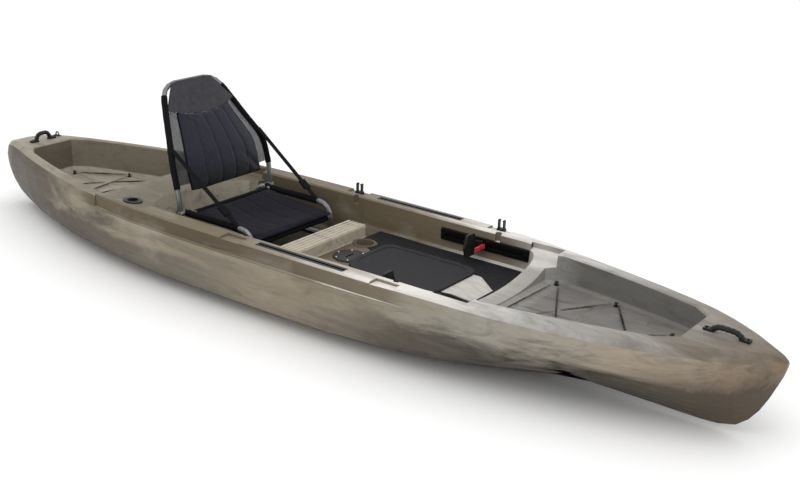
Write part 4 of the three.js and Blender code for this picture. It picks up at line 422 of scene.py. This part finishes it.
def shell_material():
    """Rotomoulded polyethylene: colours by region that drift along the hull, smoke and a fine grain."""
    s = Shader("shell")
    drawn_out = s.scaled(STREAK_STRETCH, turn=(0.0, STREAK_SLANT, 0.0))
    streaks = s.noise(2.6, detail=8.0, rough=0.64, twist=1.4, source=drawn_out)
    wisps = s.noise(6.5, detail=7.0, rough=0.66, twist=1.8, source=drawn_out)
    clouds = s.noise(3.1, detail=5.0, rough=0.6, twist=0.6, source=s.scaled(CLOUD_STRETCH))
    fine = s.noise(26.0, detail=6.0, rough=0.7, source=drawn_out)
    x, y, z = (s.axis(name) for name in "XYZ")
    facing = s.node("ShaderNodeSeparateXYZ")
    s.join(s.node("ShaderNodeNewGeometry").outputs["True Normal"], facing.inputs["Vector"])
    outward = s.span(s.math("MULTIPLY", facing.outputs["Y"], y), -OUTWARD_FADE, OUTWARD_FADE)
    upward = s.span(facing.outputs["Z"], UPWARD_FROM, UPWARD_TO)
    forward = s.span(facing.outputs["X"], FORWARD_FROM, FORWARD_TO)

    def along(reach):
        drift = s.math("ADD", x, s.span(streaks, *NOISE_MIDDLE, -reach, reach))
        return s.span(drift, -SHELL_HALF_LENGTH, SHELL_HALF_LENGTH)

    far, near = along(FAR_DRIFT), along(NEAR_DRIFT)

    def ramp(stops, place):
        return s.ramp(place, [((at + SHELL_HALF_LENGTH) / (2 * SHELL_HALF_LENGTH), c) for at, c in stops])

    # The side darkens low down: partly its tone, partly painted shade where it curves under
    height = s.math("ADD", z, s.span(streaks, *NOISE_MIDDLE, -HEIGHT_DRIFT, HEIGHT_DRIFT))
    high_up = s.span(height, SIDE_SPLIT_LOW, SIDE_SPLIT_HIGH)
    side = s.mix(high_up, ramp(SIDE_LOW_TONE_AND_SHADE_STOPS, far), ramp(SIDE_HIGH_STOPS, far))
    # The band below the gunwale: its tone with painted shade in its recess
    band = s.within(x, BAND_FROM, BAND_TO, BAND_END_FADE)
    band = s.math("MULTIPLY", band, s.within(z, BAND_LOW, BAND_HIGH, BAND_EDGE_FADE))
    banded = s.mix(s.math("MULTIPLY", band, BAND_STRENGTH), side, ramp(BAND_TONE_AND_SHADE_STOPS, near))
    # Inner walls: their tones with painted shade, darker deep in the wells
    upright = s.mix(outward, ramp(WALL_TONE_AND_SHADE_STOPS, near), banded)
    # Painted light: the seat well's aft wall is lighter where it faces forward
    lit_aft_wall = s.math("MULTIPLY", s.within(x, AFT_WALL_REAR, AFT_WALL_FRONT, AFT_WALL_FADE), forward)
    upright = s.mix(lit_aft_wall, upright, AFT_WALL_LIT_TAN)
    # Floors and deck: their tones with painted shade round the seat and in the wells
    on_deck = s.span(z, FLOOR_TOP - FLOOR_FADE, FLOOR_TOP)
    level = s.mix(on_deck, ramp(FLOOR_TONE_AND_SHADE_STOPS, near), ramp(TOP_TONE_AND_SHADE_STOPS, far))
    base = s.mix(upward, upright, level)
    block = s.within(x, BLOCK_REAR, BLOCK_FRONT, BLOCK_FADE)
    block = s.math("MULTIPLY", block, s.within(y, -BLOCK_HALF_WIDTH, BLOCK_HALF_WIDTH, BLOCK_FADE))
    base = s.mix(s.math("MULTIPLY", block, BLOCK_STRENGTH), base, BLOCK_TAN)

    inboard = s.span(outward, 0.0, 1.0, CALM_STRENGTH, 0.0)
    calm = s.math("MULTIPLY", s.within(x, CALM_REAR, CALM_FRONT, CALM_FADE), inboard)
    smoke = s.math("MULTIPLY", s.span(wisps, *SMOKE_SPAN), s.math("SUBTRACT", 1.0, calm))
    smoked = s.mix(smoke, base, SHELL_SMOKE)
    clouded = s.mix(s.span(clouds, *CLOUD_SPAN), smoked, SHELL_PALE)
    speckled = s.mix(s.span(fine, *SPECK_SPAN), clouded, SHELL_SMOKE)
    grain = s.noise(700.0, detail=2.0)
    soft = s.bump(clouds, *SHELL_CLOUD_BUMP, s.round_edges(SHELL_EDGE_RADIUS))
    s.set(Base_Color=speckled, Roughness=s.span(fine, *NOISE_MIDDLE, *SHELL_ROUGHNESS))
    s.set(Normal=s.bump(grain, *SHELL_GRAIN_BUMP, soft))
    s.bsdf.inputs["Specular IOR Level"].default_value = SHELL_SHINE
    return s.material


def lifted(colour, gain, more):
    """The colour made lighter, as dust or rubbing leaves it."""
    return tuple(min(part * gain + more, 1.0) for part in colour)


def moulded(name, colour, rough=0.5, grain=900.0, strength=0.18, edge=0.0012, shine=0.28):
    """Moulded plastic with a fine grain, a little dust in its tone and softened edges."""
    s = Shader(name)
    dust = s.noise(38.0, detail=5.0, rough=0.65)
    dusty = lifted(colour, gain=1.7, more=0.006)
    s.set(Base_Color=s.mix(s.span(dust, *DUST_SPAN), colour, dusty))
    s.set(Roughness=s.span(dust, *NOISE_MIDDLE, rough - 0.07, rough + 0.07))
    fine = s.noise(grain, detail=3.0)
    s.set(Normal=s.bump(fine, strength, PLASTIC_GRAIN_DEPTH, s.round_edges(edge)))
    s.bsdf.inputs["Specular IOR Level"].default_value = shine
    return s.material


def metal(name, colour, rough, metallic=1.0):
    """Metal or a coat on metal, drawn along X, with faint rub marks."""
    s = Shader(name)
    marks = s.noise(1.0, detail=6.0, rough=0.6, source=s.scaled(METAL_BRUSH))
    rubbed = lifted(colour, gain=1.35, more=0.01)
    s.set(Base_Color=s.mix(s.span(marks, *RUB_SPAN), colour, rubbed), Metallic=metallic)
    s.set(Roughness=s.span(marks, *NOISE_MIDDLE, rough - 0.08, rough + 0.1))
    s.set(Normal=s.bump(marks, *METAL_BUMP, s.round_edges(METAL_EDGE_RADIUS)))
    return s.material


def woven(name, colour, fleck, sheen=0.08, shine=0.2, painted_shade_below=None):
    """Woven polyester: crossed threads, flecks and a soft sheen, and painted shade below a height if one
    is given.
    """
    s = Shader(name)
    scale = 1.0 / (WEAVE_PITCH * PITCH_FACTOR)
    warp = s.wave(scale, "X")
    weft = s.wave(scale, "Y")
    rise = s.wave(scale, "Z")
    threads = s.math("MAXIMUM", s.math("MULTIPLY", warp, weft), s.math("MULTIPLY", weft, rise))
    flecks = s.noise(240.0, detail=4.0, rough=0.7, source=s.scaled(FLECK_STRETCH))
    cloth = s.mix(s.span(flecks, *FLECK_SPAN), colour, fleck)
    # Painted shade: the cloth goes darker, towards black, below the given heights
    if painted_shade_below:
        cloth = s.mix(s.span(s.axis("Z"), *painted_shade_below, 0.85, 0.0), cloth, WEB_BLACK)
    s.set(Base_Color=cloth, Roughness=s.span(flecks, *NOISE_MIDDLE, 0.78, 0.92))
    uneven = s.bump(s.noise(30.0, detail=5.0), *CLOTH_BUMP)
    s.set(Normal=s.bump(threads, *THREAD_BUMP, uneven))
    s.bsdf.inputs["Sheen Weight"].default_value = sheen
    s.bsdf.inputs["Sheen Roughness"].default_value = 0.5
    s.bsdf.inputs["Specular IOR Level"].default_value = shine
    return s.material


def mat_material():
    """Dark closed-cell foam: fine pores, scuffs and lighter tops to its ribs."""
    s = Shader("mat")
    dust = s.noise(60.0, detail=5.0, rough=0.7)
    pores = s.noise(900.0, detail=2.0)
    worn = s.mix(s.span(dust, *SCUFF_SPAN), MAT_DARK, MAT_WORN)
    tops = s.span(s.wave(1.0 / (RIB_PITCH * 2 * math.pi), "Y"), *RIB_TOP_SPAN)
    s.set(Base_Color=s.mix(tops, worn, MAT_RIB))
    s.set(Roughness=0.8, Normal=s.bump(pores, *PORE_BUMP))
    s.bsdf.inputs["Specular IOR Level"].default_value = 0.2
    return s.material


def webbing_material():
    """Flat webbing with ribs across it."""
    s = Shader("webbing")
    ribs = s.wave(1.0 / WEB_RIB_LENGTH, "Z")
    flecks = s.noise(300.0, detail=3.0)
    s.set(Base_Color=s.mix(s.span(flecks, *WEB_FLECK_SPAN), WEB_BLACK, WEB_WORN))
    s.set(Roughness=0.85, Normal=s.bump(ribs, *WEB_BUMP))
    s.bsdf.inputs["Specular IOR Level"].default_value = 0.1
    return s.material


def mesh_material():
    """Open mesh: threads in a close grid, with small holes that let the ground show."""
    s = Shader("seat_mesh")
    scale = 1.0 / (MESH_PITCH * PITCH_FACTOR)
    hole = s.math("MULTIPLY", s.wave(scale, "Y"), s.wave(scale, "Z"))
    s.set(Base_Color=s.mix(s.span(hole, *THREAD_SPAN), MESH_GREY, MESH_BLACK), Roughness=0.75)
    s.set(Alpha=s.span(hole, *HOLE_SPAN), Normal=s.bump(hole, *MESH_BUMP))
    s.bsdf.inputs["Specular IOR Level"].default_value = 0.2
    return s.material


def bungee_material():
    """Braided cover: two crossed bands at a slant."""
    s = Shader("bungee")
    slant = s.wave(1.0 / BRAID_BAND_LENGTH, "DIAGONAL")
    other = s.wave(1.0 / BRAID_BAND_LENGTH, "DIAGONAL", source=s.scaled((1.0, -1.0, 1.0)))
    braid = s.math("MAXIMUM", slant, other)
    s.set(Base_Color=s.mix(s.span(braid, *BRAID_SPAN), WEB_BLACK, BRAID_WORN))
    s.set(Roughness=0.8, Normal=s.bump(braid, *BRAID_BUMP))
    s.bsdf.inputs["Specular IOR Level"].default_value = 0.12
    return s.material


def floor_material():
    """Matt near-white card without a highlight."""
    s = Shader("floor")
    s.set(Base_Color=FLOOR_COLOUR, Roughness=0.9)
    s.bsdf.inputs["Specular IOR Level"].default_value = 0.0
    return s.material


MATERIALS = {
    "shell": shell_material(),
    "fittings": moulded("fittings", BLACK, rough=0.45),
    "lid": moulded("lid", CHARCOAL, rough=0.6, grain=1200.0, strength=0.3, edge=0.002, shine=0.16),
    "mat": mat_material(),
    "bungee": bungee_material(),
    "track": metal("track", TRACK_BLACK, rough=0.4, metallic=0.8),
    "pedal": moulded("pedal", BLACK, rough=0.5),
    "lever": moulded("lever", LEVER_RED, rough=0.3, grain=500.0, strength=0.05, shine=0.5),
    "steel": metal("steel", STEEL, rough=0.25),
    "seat_tube": metal("seat_tube", GUNMETAL, rough=0.32, metallic=0.85),
    "seat_cloth": woven("seat_cloth", CLOTH_NAVY, CLOTH_FLECK,
                        painted_shade_below=(CLOTH_SHADE_LOW, CLOTH_SHADE_HIGH)),
    "seat_mesh": mesh_material(),
    "seat_yoke": moulded("seat_yoke", YOKE_GREY, rough=0.5),
    "webbing": webbing_material(),
}
# A darker copy of the seat cloth for the sling: painted shade, as it faces up into the brighter sky
SHADED_SLING_CLOTH = woven("shaded_sling_cloth", SLING_SHADED_NAVY, SLING_SHADED_FLECK, sheen=0.03, shine=0.12)

# Small fittings that look dark in the photograph, whatever their slot
DARK_NODES = ("bow_handle_screw", "stern_handle_screw", "strap_buckle")


def paint(obj, slot):
    obj.data.materials.clear()
    obj.data.materials.append(MATERIALS[slot])


def smooth(obj, angle):
    """Shades faces smooth except across edges sharper than the angle."""
    obj.data.polygons.foreach_set("use_smooth", [True] * len(obj.data.polygons))
    bpy.context.view_layer.objects.active = obj
    obj.data.set_sharp_from_angle(angle=math.radians(angle))


for part in frame["record"]["subparts"]:
    node = nodes[part["node"]]
    node.data.materials.clear()
    node.data.materials.append(MATERIALS[part["material_slot"]])
    if part["node"].startswith(DARK_NODES):
        node.data.materials[0] = MATERIALS["webbing"]
    smooth(node, HARD_ANGLE)


# Soft goods. The pads, straps, bungees and mat start from their CAD solids, so that they keep the
# solids' place and size.
def linked(name, data):
    """A new object in the scene, for a mesh, a curve, a light or a camera."""
    obj = bpy.data.objects.new(name, data)
    bpy.context.scene.collection.objects.link(obj)
    return obj


def copied(node, name):
    """A new piece with the CAD solid's shape, in the row frame."""
    mesh = nodes[node].data.copy()
    mesh.transform(nodes[node].matrix_world)
    return linked(name, mesh)


def apply_modifiers(obj):
    baked = bpy.data.meshes.new_from_object(obj.evaluated_get(bpy.context.evaluated_depsgraph_get()))
    obj.modifiers.clear()
    obj.data = baked


def modified(obj, kind, **settings):
    modifier = obj.modifiers.new(kind.lower(), kind)
    for key, value in settings.items():
        setattr(modifier, key, value)
    return modifier


def shifted(obj, move):
    """Moves each vertex by move(place, normal), a vector."""
    shifts = [move(v.co.copy(), v.normal.copy()) for v in obj.data.vertices]
    for vertex, shift in zip(obj.data.vertices, shifts):
        vertex.co += shift
    obj.data.update()


def swollen(obj, rests, cap):
    """Fills the piece like a cushion by cloth under pressure. It stays flat where rests(normal) holds."""
    modified(obj, "REMESH", mode="VOXEL", voxel_size=VOXEL)
    apply_modifiers(obj)
    before = [v.co.copy() for v in obj.data.vertices]
    held = obj.vertex_groups.new(name="held")
    held.add([v.index for v in obj.data.vertices if rests(v.normal)], 1.0, "REPLACE")
    cloth = modified(obj, "CLOTH")
    cloth.settings.quality = CLOTH_QUALITY
    cloth.settings.use_pressure = True
    cloth.settings.uniform_pressure_force = PAD_PRESSURE
    cloth.settings.vertex_group_mass = "held"
    cloth.settings.effector_weights.gravity = 0
    for step in range(1, SIM_FRAMES + 1):
        bpy.context.scene.frame_set(step)
    apply_modifiers(obj)
    bpy.context.scene.frame_set(1)
    for vertex, start in zip(obj.data.vertices, before):
        moved = vertex.co - start
        if moved.length > cap:
            vertex.co = start + moved * (cap / moved.length)
    obj.data.update()
    obj.vertex_groups.clear()


def wrinkled(place, normal):
    """Shallow folds in stretched cloth, the same on each run."""
    return normal * (noise.noise(place / WRINKLE_PITCH) * WRINKLE_DEPTH)


def finished(obj, slot, body, *stands_for):
    """Paints a new piece, rides it on its body and lets it stand for the CAD solids."""
    paint(obj, slot)
    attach(obj, body)
    if stands_for:
        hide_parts(*stands_for)


def cut_at(node, axis, level):
    """Places on the CAD solid's edges where they cross the plane at that level of the axis."""
    source = nodes[node]
    points = [source.matrix_world @ v.co for v in source.data.vertices]
    found = []
    for edge in source.data.edges:
        a, b = (points[i] for i in edge.vertices)
        if (a[axis] - level) * (b[axis] - level) < 0:
            found.append(a.lerp(b, (level - a[axis]) / (b[axis] - a[axis])))
    return found


def tube_centre(node, axis, level, keep):
    """Middle of the CAD tube's cut at that level of the axis, of the places that keep(place) holds for."""
    spots = [p for p in cut_at(node, axis, level) if keep(p)]
    low = Vector([min(p[i] for p in spots) for i in range(3)])
    high = Vector([max(p[i] for p in spots) for i in range(3)])
    return (low + high) / 2


def tube(name, points, radius, roundness, ripple=0.0, closed=False):
    """A round piece along the points. The ripple is the share by which its thickness goes up and down."""
    data = bpy.data.curves.new(name, "CURVE")
    data.dimensions = "3D"
    data.bevel_depth = radius
    data.bevel_resolution = roundness
    data.use_fill_caps = not closed
    spline = data.splines.new("POLY")
    spline.points.add(len(points) - 1)
    spline.use_cyclic_u = closed
    for i, (spot, place) in enumerate(zip(spline.points, points)):
        spot.co = (*place, 1.0)
        spot.radius = 1.0 + ripple * math.sin(i * SLEEVE_RIPPLE_TURN)
    return linked(name, data)


def add_sleeve(name, points, radius, body):
    """A snug cloth sleeve on one of the seat's tubes."""
    finished(tube(name, points, radius, SLEEVE_ROUNDNESS, ripple=SLEEVE_RIPPLE), "webbing", body)


SIDES = {"port": 1, "starboard": -1}


def steps(low, high, size):
    """Even places from low to high, about the size apart."""
    count = max(1, round(abs(high - low) / size))
    return [low + (high - low) * i / count for i in range(count + 1)]


def between(levels, value):
    """The step of the even levels that the value lies in, and how far along that step it is."""
    place = (value - levels[0]) / (levels[-1] - levels[0]) * (len(levels) - 1)
    i = min(max(int(place), 0), len(levels) - 2)
    return i, place - i


def add_back_pad():
    """The padded back, with its sewn channels and the piping round its edge."""
    pad = copied("seat_back_pad", "back_pad")
    low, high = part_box("seat_back_pad")
    swollen(pad, lambda normal: normal.x < PAD_BACK_FACING, PAD_CAP)

    def half_width(z):
        level = min(max(z, low[2] + PAD_LOW_MARGIN), high[2] - PAD_HIGH_MARGIN)
        return max(abs(p.y) for p in cut_at("seat_back_pad", 2, level))

    rows = steps(low[2], high[2], PAD_ROW_STEP)
    halves = [half_width(z) for z in rows]

    def seamed(place, normal):
        if normal.x < PAD_FRONT_FACING:
            return Vector()
        i, part = between(rows, place.z)
        half = halves[i] + (halves[i + 1] - halves[i]) * part
        depth = sum(math.exp(-(((place.y - at * half) / PAD_SEAM_WIDTH) ** 2)) for at in PAD_SEAMS)
        return normal * (-PAD_SEAM_DEPTH * depth) + wrinkled(place, normal)

    shifted(pad, seamed)
    modified(pad, "SUBSURF", levels=1, render_levels=1)
    apply_modifiers(pad)
    smooth(pad, SOFT_ANGLE)
    finished(pad, "seat_cloth", "seat_back", "seat_back_pad")
    add_piping(pad, Vector((0, 0, (low[2] + high[2]) / 2)))


def add_piping(pad, centre):
    """A round cord sewn along the back pad's edge, found as the furthest places round its centre."""
    spots = []
    for i in range(PIPING_SPOTS):
        angle = 2 * math.pi * i / PIPING_SPOTS
        across, up = math.cos(angle), math.sin(angle)
        far = max(pad.data.vertices, key=lambda v: v.co.y * across + (v.co.z - centre.z) * up)
        if not spots or (far.co - spots[-1]).length > PIPING_LEAST_STEP:
            spots.append(far.co.copy())
    piping = tube("back_pad_piping", spots, PIPING_RADIUS, PIPING_ROUNDNESS, closed=True)
    finished(piping, "webbing", "seat_back")


def add_sling():
    """The padded sling, and the sleeves on the hoops and the cross tubes that carry it."""
    sling = copied("seat_sling", "seat_sling_cloth")
    swollen(sling, lambda normal: normal.z < SLING_UNDER_FACING, SLING_CAP)
    shifted(sling, wrinkled)
    modified(sling, "SUBSURF", levels=1, render_levels=1)
    apply_modifiers(sling)
    smooth(sling, SOFT_ANGLE)
    finished(sling, "seat_cloth", "boat", "seat_sling")
    # The sling takes the seat cloth's darker copy, painted shade
    sling.data.materials[0] = SHADED_SLING_CLOTH
    for side in SIDES:
        points = [tube_centre("seat_hoop_" + side, 0, x, lambda p: p.z > RAIL_LOW_Z)
                  for x in steps(RAIL_SLEEVE_REAR, RAIL_SLEEVE_FRONT, RAIL_SLEEVE_STEP)]
        add_sleeve("rail_sleeve_" + side, points, RAIL_SLEEVE_RADIUS, "boat")
    for end in ("front", "rear"):
        low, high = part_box("seat_cross_" + end)
        middle = (Vector(low) + Vector(high)) / 2
        points = [Vector((middle.x, y, middle.z))
                  for y in steps(-CROSS_SLEEVE_REACH, CROSS_SLEEVE_REACH, RAIL_SLEEVE_STEP)]
        add_sleeve("cross_sleeve_" + end, points, CROSS_SLEEVE_RADIUS, "boat")


def add_back_mesh():
    """The mesh stretched between the back frame's tubes, and the sleeves that hold it on them."""
    heights = steps(SLEEVE_LOW, SLEEVE_HIGH, SLEEVE_STEP)
    centres = {}
    for side, sign in SIDES.items():
        centres[side] = [tube_centre("seat_back_frame", 2, z, lambda p: p.y * sign > 0) for z in heights]
        add_sleeve("back_sleeve_" + side, centres[side], SLEEVE_RADIUS, "seat_back")
    low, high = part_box("seat_back_mesh")
    rows = []
    for z in steps(low[2] + SHEET_LOW_MARGIN, high[2], (high[2] - low[2]) / SHEET_ROWS):
        i, part = between(heights, z)
        centre = centres["port"][i].lerp(centres["port"][i + 1], part)
        half = centre.y - SHEET_INSET
        shares = [2 * j / SHEET_COLUMNS - 1 for j in range(SHEET_COLUMNS + 1)]
        rows.append([(centre.x + BACK_BULGE * (1 - s * s), s * half, z) for s in shares])
    mesh = bpy.data.meshes.new("back_mesh")
    wide = SHEET_COLUMNS + 1
    faces = [(i * wide + j, i * wide + j + 1, (i + 1) * wide + j + 1, (i + 1) * wide + j)
             for i in range(len(rows) - 1) for j in range(SHEET_COLUMNS)]
    mesh.from_pydata([p for row in rows for p in row], [], faces)
    sheet = linked("back_mesh", mesh)
    smooth(sheet, SOFT_ANGLE)
    finished(sheet, "seat_mesh", "seat_back", "seat_back_mesh")


def add_straps():
    """Webbing with a soft edge, cut into short lengths."""
    for side in SIDES:
        node = "seat_strap_" + side
        strap = copied(node, "strap_" + side)
        low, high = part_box(node)
        cuts = bmesh.new()
        cuts.from_mesh(strap.data)
        for x in steps(low[0], high[0], STRAP_STEP)[1:-1]:
            bmesh.ops.bisect_plane(cuts, geom=cuts.verts[:] + cuts.edges[:] + cuts.faces[:],
                                   plane_co=(x, 0, 0), plane_no=(1, 0, 0))
        cuts.to_mesh(strap.data)
        cuts.free()
        modified(strap, "BEVEL", width=STRAP_EDGE, segments=2, limit_method="ANGLE")
        apply_modifiers(strap)
        smooth(strap, STRAP_ANGLE)
        paint(strap, "webbing")
        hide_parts(node)
        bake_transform(strap)


def add_bungees():
    """Round braided cords in place of the six-sided solids."""
    for node in ("bow_bungee", "stern_bungee"):
        cord = copied(node, node + "_cord")
        modified(cord, "SUBSURF", levels=2, render_levels=2)
        apply_modifiers(cord)
        shifted(cord, lambda place, normal: normal * BUNGEE_SWELL)
        smooth(cord, SOFT_ANGLE)
        finished(cord, "bungee", "boat", node)


def add_mat():
    """The foam mat with its ribs, which run along the boat."""
    mat = copied("floor_mat", "foam_mat")
    low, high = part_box("floor_mat")
    ribs = bmesh.new()
    ribs.from_mesh(mat.data)
    lines = steps(low[1], high[1], RIB_PITCH / 2)
    for y in lines[1:-1]:
        bmesh.ops.bisect_plane(ribs, geom=ribs.verts[:] + ribs.edges[:] + ribs.faces[:],
                               plane_co=(0, y, 0), plane_no=(0, 1, 0))
    step = lines[1] - lines[0]
    for vertex in ribs.verts:
        line = (vertex.co.y - low[1]) / step
        on_top = vertex.co.z > high[2] - RIB_DEPTH / 2
        on_line = abs(line - round(line)) < RIB_LINE_SLACK
        if on_top and on_line and round(line) % 2:
            vertex.co.z -= RIB_DEPTH
    ribs.to_mesh(mat.data)
    ribs.free()
    finished(mat, "mat", "boat", "floor_mat")


add_back_pad()
add_sling()
add_back_mesh()
add_straps()
add_bungees()
add_mat()


def add_camera():
    """The camera, aimed by its azimuth and elevation and then rolled about its view."""
    azimuth, elevation, roll = (math.radians(a) for a in (CAMERA_AZIMUTH, CAMERA_ELEVATION, CAMERA_ROLL))
    ahead = Vector((-math.sin(azimuth) * math.cos(elevation), math.cos(azimuth) * math.cos(elevation),
                    -math.sin(elevation)))
    level = ahead.cross(Vector((0, 0, 1))).normalized()
    upright = level.cross(ahead)
    right = level * math.cos(roll) + upright * math.sin(roll)
    top = upright * math.cos(roll) - level * math.sin(roll)
    data = bpy.data.cameras.new("camera")
    data.lens = CAMERA_LENS
    data.sensor_width = SENSOR_WIDTH
    data.clip_end = CAMERA_FAR
    camera = linked("camera", data)
    turn = Matrix((right, top, -ahead)).transposed().to_4x4()
    camera.matrix_world = Matrix.Translation(CAMERA_AT) @ turn
    bpy.context.scene.camera = camera


def add_world():
    """A soft sky, lighter above; the camera, mirrors and glass see plain white."""
    world = bpy.data.worlds.new("studio")
    bpy.context.scene.world = world
    world.use_nodes = True
    tree = world.node_tree
    background = tree.nodes["Background"]
    place = tree.nodes.new("ShaderNodeTexCoord")
    parts = tree.nodes.new("ShaderNodeSeparateXYZ")
    ramp = tree.nodes.new("ShaderNodeValToRGB")
    shift = tree.nodes.new("ShaderNodeMapRange")
    shift.inputs["From Min"].default_value = -1.0
    ramp.color_ramp.elements.new(0.5)
    for item, (at, level) in zip(ramp.color_ramp.elements, SKY_STOPS):
        item.position = at
        item.color = (level, level, level, 1.0)
    tree.links.new(place.outputs["Generated"], parts.inputs["Vector"])
    tree.links.new(parts.outputs["Z"], shift.inputs["Value"])
    tree.links.new(shift.outputs["Result"], ramp.inputs["Fac"])
    rays = tree.nodes.new("ShaderNodeLightPath")
    seen = tree.nodes.new("ShaderNodeMix")
    seen.data_type = "RGBA"
    seen.inputs["B"].default_value = BACKGROUND_WHITE
    total = rays.outputs["Is Camera Ray"]
    for name in ("Is Glossy Ray", "Is Transmission Ray"):
        both = tree.nodes.new("ShaderNodeMath")
        both.operation = "MAXIMUM"
        tree.links.new(total, both.inputs[0])
        tree.links.new(rays.outputs[name], both.inputs[1])
        total = both.outputs["Value"]
    tree.links.new(total, seen.inputs["Factor"])
    tree.links.new(ramp.outputs["Color"], seen.inputs["A"])
    tree.links.new(seen.outputs["Result"], background.inputs["Color"])


def add_key():
    """A wide soft light from above and a little to starboard."""
    data = bpy.data.lights.new("key", "AREA")
    data.size = KEY_SIZE
    data.energy = KEY_WATTS
    key = linked("key", data)
    key.location = KEY_AT
    key.rotation_euler = (KEY_AIM - KEY_AT).to_track_quat("-Z", "Y").to_euler()


def add_floor():
    """A wide floor just below the hull, which keeps its shadow."""
    half = FLOOR_SIZE / 2
    mesh = bpy.data.meshes.new("floor")
    corners = [(-half, -half, -FLOOR_DROP), (half, -half, -FLOOR_DROP), (half, half, -FLOOR_DROP),
               (-half, half, -FLOOR_DROP)]
    mesh.from_pydata(corners, [], [(0, 1, 2, 3)])
    mesh.materials.append(floor_material())
    floor = linked("floor", mesh)


add_camera()
add_world()
add_key()
add_floor()
bpy.context.scene.view_settings.view_transform = "Standard"
